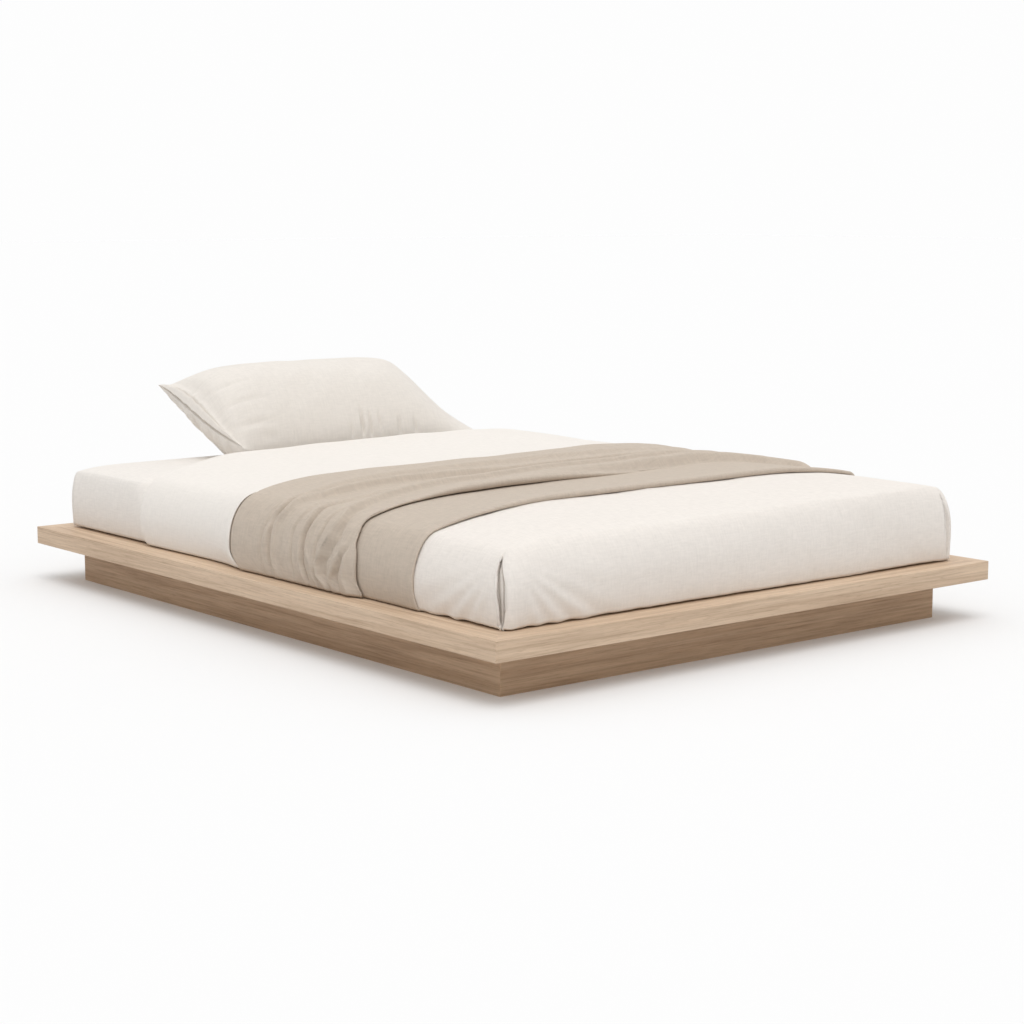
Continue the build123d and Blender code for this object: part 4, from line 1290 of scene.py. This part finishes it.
def pillow_creases(x, v):
    """Shallow valleys with a small ridge beside each."""
    total = 0.0
    for centre, across, long, wide, depth in PILLOW_CREASES:
        a, b = (x - centre) / long, (v - across) / wide
        narrow = b if long > 0.02 else a
        total = total - depth * np.exp(-(a**2) - b**2) * (1 - 1.3 * narrow)
    return total


def pillow_grid():
    """Distance from the left end, and place across from -1 in front to 1 at the back."""
    near = NEAR_END * np.linspace(0, 1, 48) ** 1.6
    middle = np.linspace(NEAR_END, FAR_END, 260)[1:]
    far = np.linspace(FAR_END, 2 * PILLOW_HALF, 14)[1:]
    across = np.sin(np.linspace(-pi / 2, pi / 2, 121)) * 0.55 + np.linspace(-1, 1, 121) * 0.45
    return np.meshgrid(np.concatenate([near, middle, far]), across, indexing="ij")


def make_pillow():
    d, v = pillow_grid()
    back_d = 2 * PILLOW_HALF - d
    inner = np.clip(1 - d / PILLOW_HALF, 0, 1)
    outer = np.clip(1 - back_d / PILLOW_HALF, 0, 1)
    end = 1 - inner**7 - outer**4.5
    inside = 1 - v**4
    toward_front = (1 - v) / 2

    # The seam all round
    front, back = np.array(PILLOW_FRONT), np.array(PILLOW_BACK)
    chord = back - front
    length = np.linalg.norm(chord)
    upward = np.array([-chord[1], chord[0]]) / length
    half = length / 2 - PILLOW_NIP * end
    x = d - PILLOW_HALF
    x = x + FRONT_ROUND * toward_front**5 * inner**6 + FRONT_ROUND * toward_front**3 * outer**4
    seam_y = (front[0] + back[0]) / 2 + chord[0] / length * half * v
    seam_z = (front[1] + back[1]) / 2 + chord[1] / length * half * v
    bow = END_BOW * (1 - v**2) ** 0.7 + FRONT_BOW * toward_front**3
    uv = np.stack([x, v * length / 2], axis=-1)

    def uneven(kind, along, seed):
        height, size = kind
        return height * ripple(along, uv[..., 1], size, seed)

    # The top: an arc over the seam, the band at the left end, and creases
    far_end = 1 - outer ** (9.7 - 19.4 * toward_front + 16.8 * toward_front**2)
    rise = np.maximum(PILLOW_FULL * (1 - inner**7) ** 0.85 * far_end**1.2, 1e-5)
    radius = (half**2 + rise**2) / (2 * rise)
    arc = np.sqrt(np.maximum(radius**2 - (half * v) ** 2, 0)) - (radius - rise)
    arc = arc * (1 - 0.6 * outer**6 * (1 - toward_front)) * (1 - 0.4 * toward_front**4)
    band = BAND_HEIGHT * smoothstep(d, 0, 0.005) * (1 - smoothstep(d, BAND - 0.004, BAND)) * (1 - v**6)
    stitch = STITCH_DEPTH * hump(d - BAND, STITCH_WIDTH) * inside
    valley = VALLEY_DEPTH * hump(d - VALLEY_PLACE, VALLEY_WIDTH) * inside
    waves = uneven(TOP_UNEVEN, x, 71) * end * inside
    pucker = uneven(BAND_UNEVEN, x * 0.3, 72) * hump(d - BAND, 0.05) * inside
    creases = pillow_creases(x, v) * smoothstep(1 - np.abs(v), 0, 0.06)
    full = arc + band - stitch - valley + waves + pucker + creases
    top_z = seam_z + upward[1] * full + bow * inner**8
    top = np.stack([x, seam_y + upward[0] * full, top_z], axis=-1)

    # The underside: flat where it rests, sloping up to both edges, with a panel at each end
    slope = (back[1] - PILLOW_BASE) / (back[0] - PILLOW_HEEL)
    fall = (front[1] - PILLOW_BASE) / (PILLOW_TOE - front[0])
    rest = PILLOW_BASE + 0.0 * seam_y
    behind = PILLOW_BASE + (seam_y - PILLOW_HEEL) * slope - UNDER_DROP
    before = front[1] - (seam_y - front[0]) * fall
    under = np.minimum(soft_max((rest, behind, before), 0.006), seam_z)
    panel = uneven(PANEL_UNEVEN, d * 0.3, 73) * hump(d - 0.02, 0.03) * smoothstep(d, 0, 0.01)
    groove = GROOVE_DEPTH * smoothstep(d, 0, 0.0006) * (1 - smoothstep(d, 0.0024, 0.0038))
    left_panel = seam_z + bow * np.exp(-np.maximum(d - PANEL_START, 0) / PANEL_FALL) - d
    right_panel = seam_z - back_d
    bottom_z = soft_max((under, np.where(d < PILLOW_HALF, left_panel, right_panel)), 0.003)
    bottom = np.stack([x + (groove + panel) * inside, seam_y, bottom_z], axis=-1)
    for edge in (0, -1):
        bottom[edge] = top[edge]
        bottom[:, edge] = top[:, edge]
    return make_piece("pillow_case", [(top[:, ::-1], uv[:, ::-1]), (bottom, uv)], pillow_cloth)


# Put the pieces together

coverlet = make_coverlet()
fitted_sheet = make_fitted_sheet()
mattress = make_mattress()
top_sheet = make_top_sheet()
throw = make_throw()
pillow = make_pillow()

for piece, node, slot in (
    (mattress, "mattress", "ticking"),
    (fitted_sheet, "fitted_sheet", "sheet"),
    (coverlet, "coverlet", "coverlet"),
    (top_sheet, "top_sheet", "top_sheet"),
    (throw, "throw_blanket", "throw"),
):
    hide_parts(node)
    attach(piece, "mattress")
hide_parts("pillow")
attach(pillow, "pillow")

# Floor, light and camera


def make_floor():
    mesh = bpy.data.meshes.new("floor")
    corners = [(x * FLOOR_REACH, y * FLOOR_REACH, 0) for x, y in ((-1, -1), (1, -1), (1, 1), (-1, 1))]
    mesh.from_pydata(corners, [], [(0, 1, 2, 3)])
    floor = bpy.data.objects.new("floor", mesh)
    bpy.context.scene.collection.objects.link(floor)
    material, graph, shader, _ = new_material("floor_white")
    set_inputs(shader, Base_Color=(*grey(FLOOR_COLOUR), 1), Roughness=1.0, Specular_IOR_Level=0.0)
    level = graph.add("Math")
    level.operation = "MULTIPLY"
    level.inputs[1].default_value = FLOOR_LIFT
    lift = graph.fed(graph.seen_directly(), level, 0, 0)
    glow = graph.fed(lift, graph.add("Emission"), "Strength", "Emission")
    both = graph.add("AddShader")
    graph.links.new(shader.outputs["BSDF"], both.inputs[0])
    graph.links.new(glow, both.inputs[1])
    graph.links.new(both.outputs["Shader"], graph.nodes["Material Output"].inputs["Surface"])
    mesh.materials.append(material)


def make_light():
    world = bpy.data.worlds.new("studio")
    bpy.context.scene.world = world
    graph = Graph(world)
    sky = graph.nodes["Background"]
    set_inputs(sky, Color=(1, 1, 1, 1))
    split = graph.add("SeparateXYZ")
    height = graph.fed(graph.mapped("Generated"), split, "Vector", "Z")
    strength = graph.between(height, SKY_LOW, SKY_HIGH)
    white = graph.add("Background", Color=(*grey(BACKDROP), 1), Strength=1.0)
    choose = graph.add("MixShader")
    graph.links.new(graph.seen_directly(), choose.inputs["Fac"])
    graph.links.new(graph.fed(strength, sky, "Strength", "Background"), choose.inputs[1])
    graph.links.new(white.outputs["Background"], choose.inputs[2])
    graph.links.new(choose.outputs["Shader"], graph.nodes["World Output"].inputs["Surface"])
    lamp = bpy.data.lights.new("key", "SUN")
    lamp.energy = SUN_STRENGTH
    lamp.angle = radians(SUN_SPREAD)
    sun = bpy.data.objects.new("key", lamp)
    sun.rotation_euler = (radians(SUN_TILT), 0, radians(SUN_TURN))
    bpy.context.scene.collection.objects.link(sun)


def make_camera():
    data = bpy.data.cameras.new("camera")
    data.lens = CAMERA_LENS
    data.sensor_width = 36.0
    data.clip_end = 200.0
    camera = bpy.data.objects.new("camera", data)
    camera.location = CAMERA_PLACE
    camera.rotation_euler = (radians(90 - CAMERA_PITCH), 0, radians(-CAMERA_YAW))
    bpy.context.scene.collection.objects.link(camera)
    bpy.context.scene.camera = camera


make_floor()
make_light()
make_camera()
bpy.context.scene.view_settings.view_transform = "Standard"
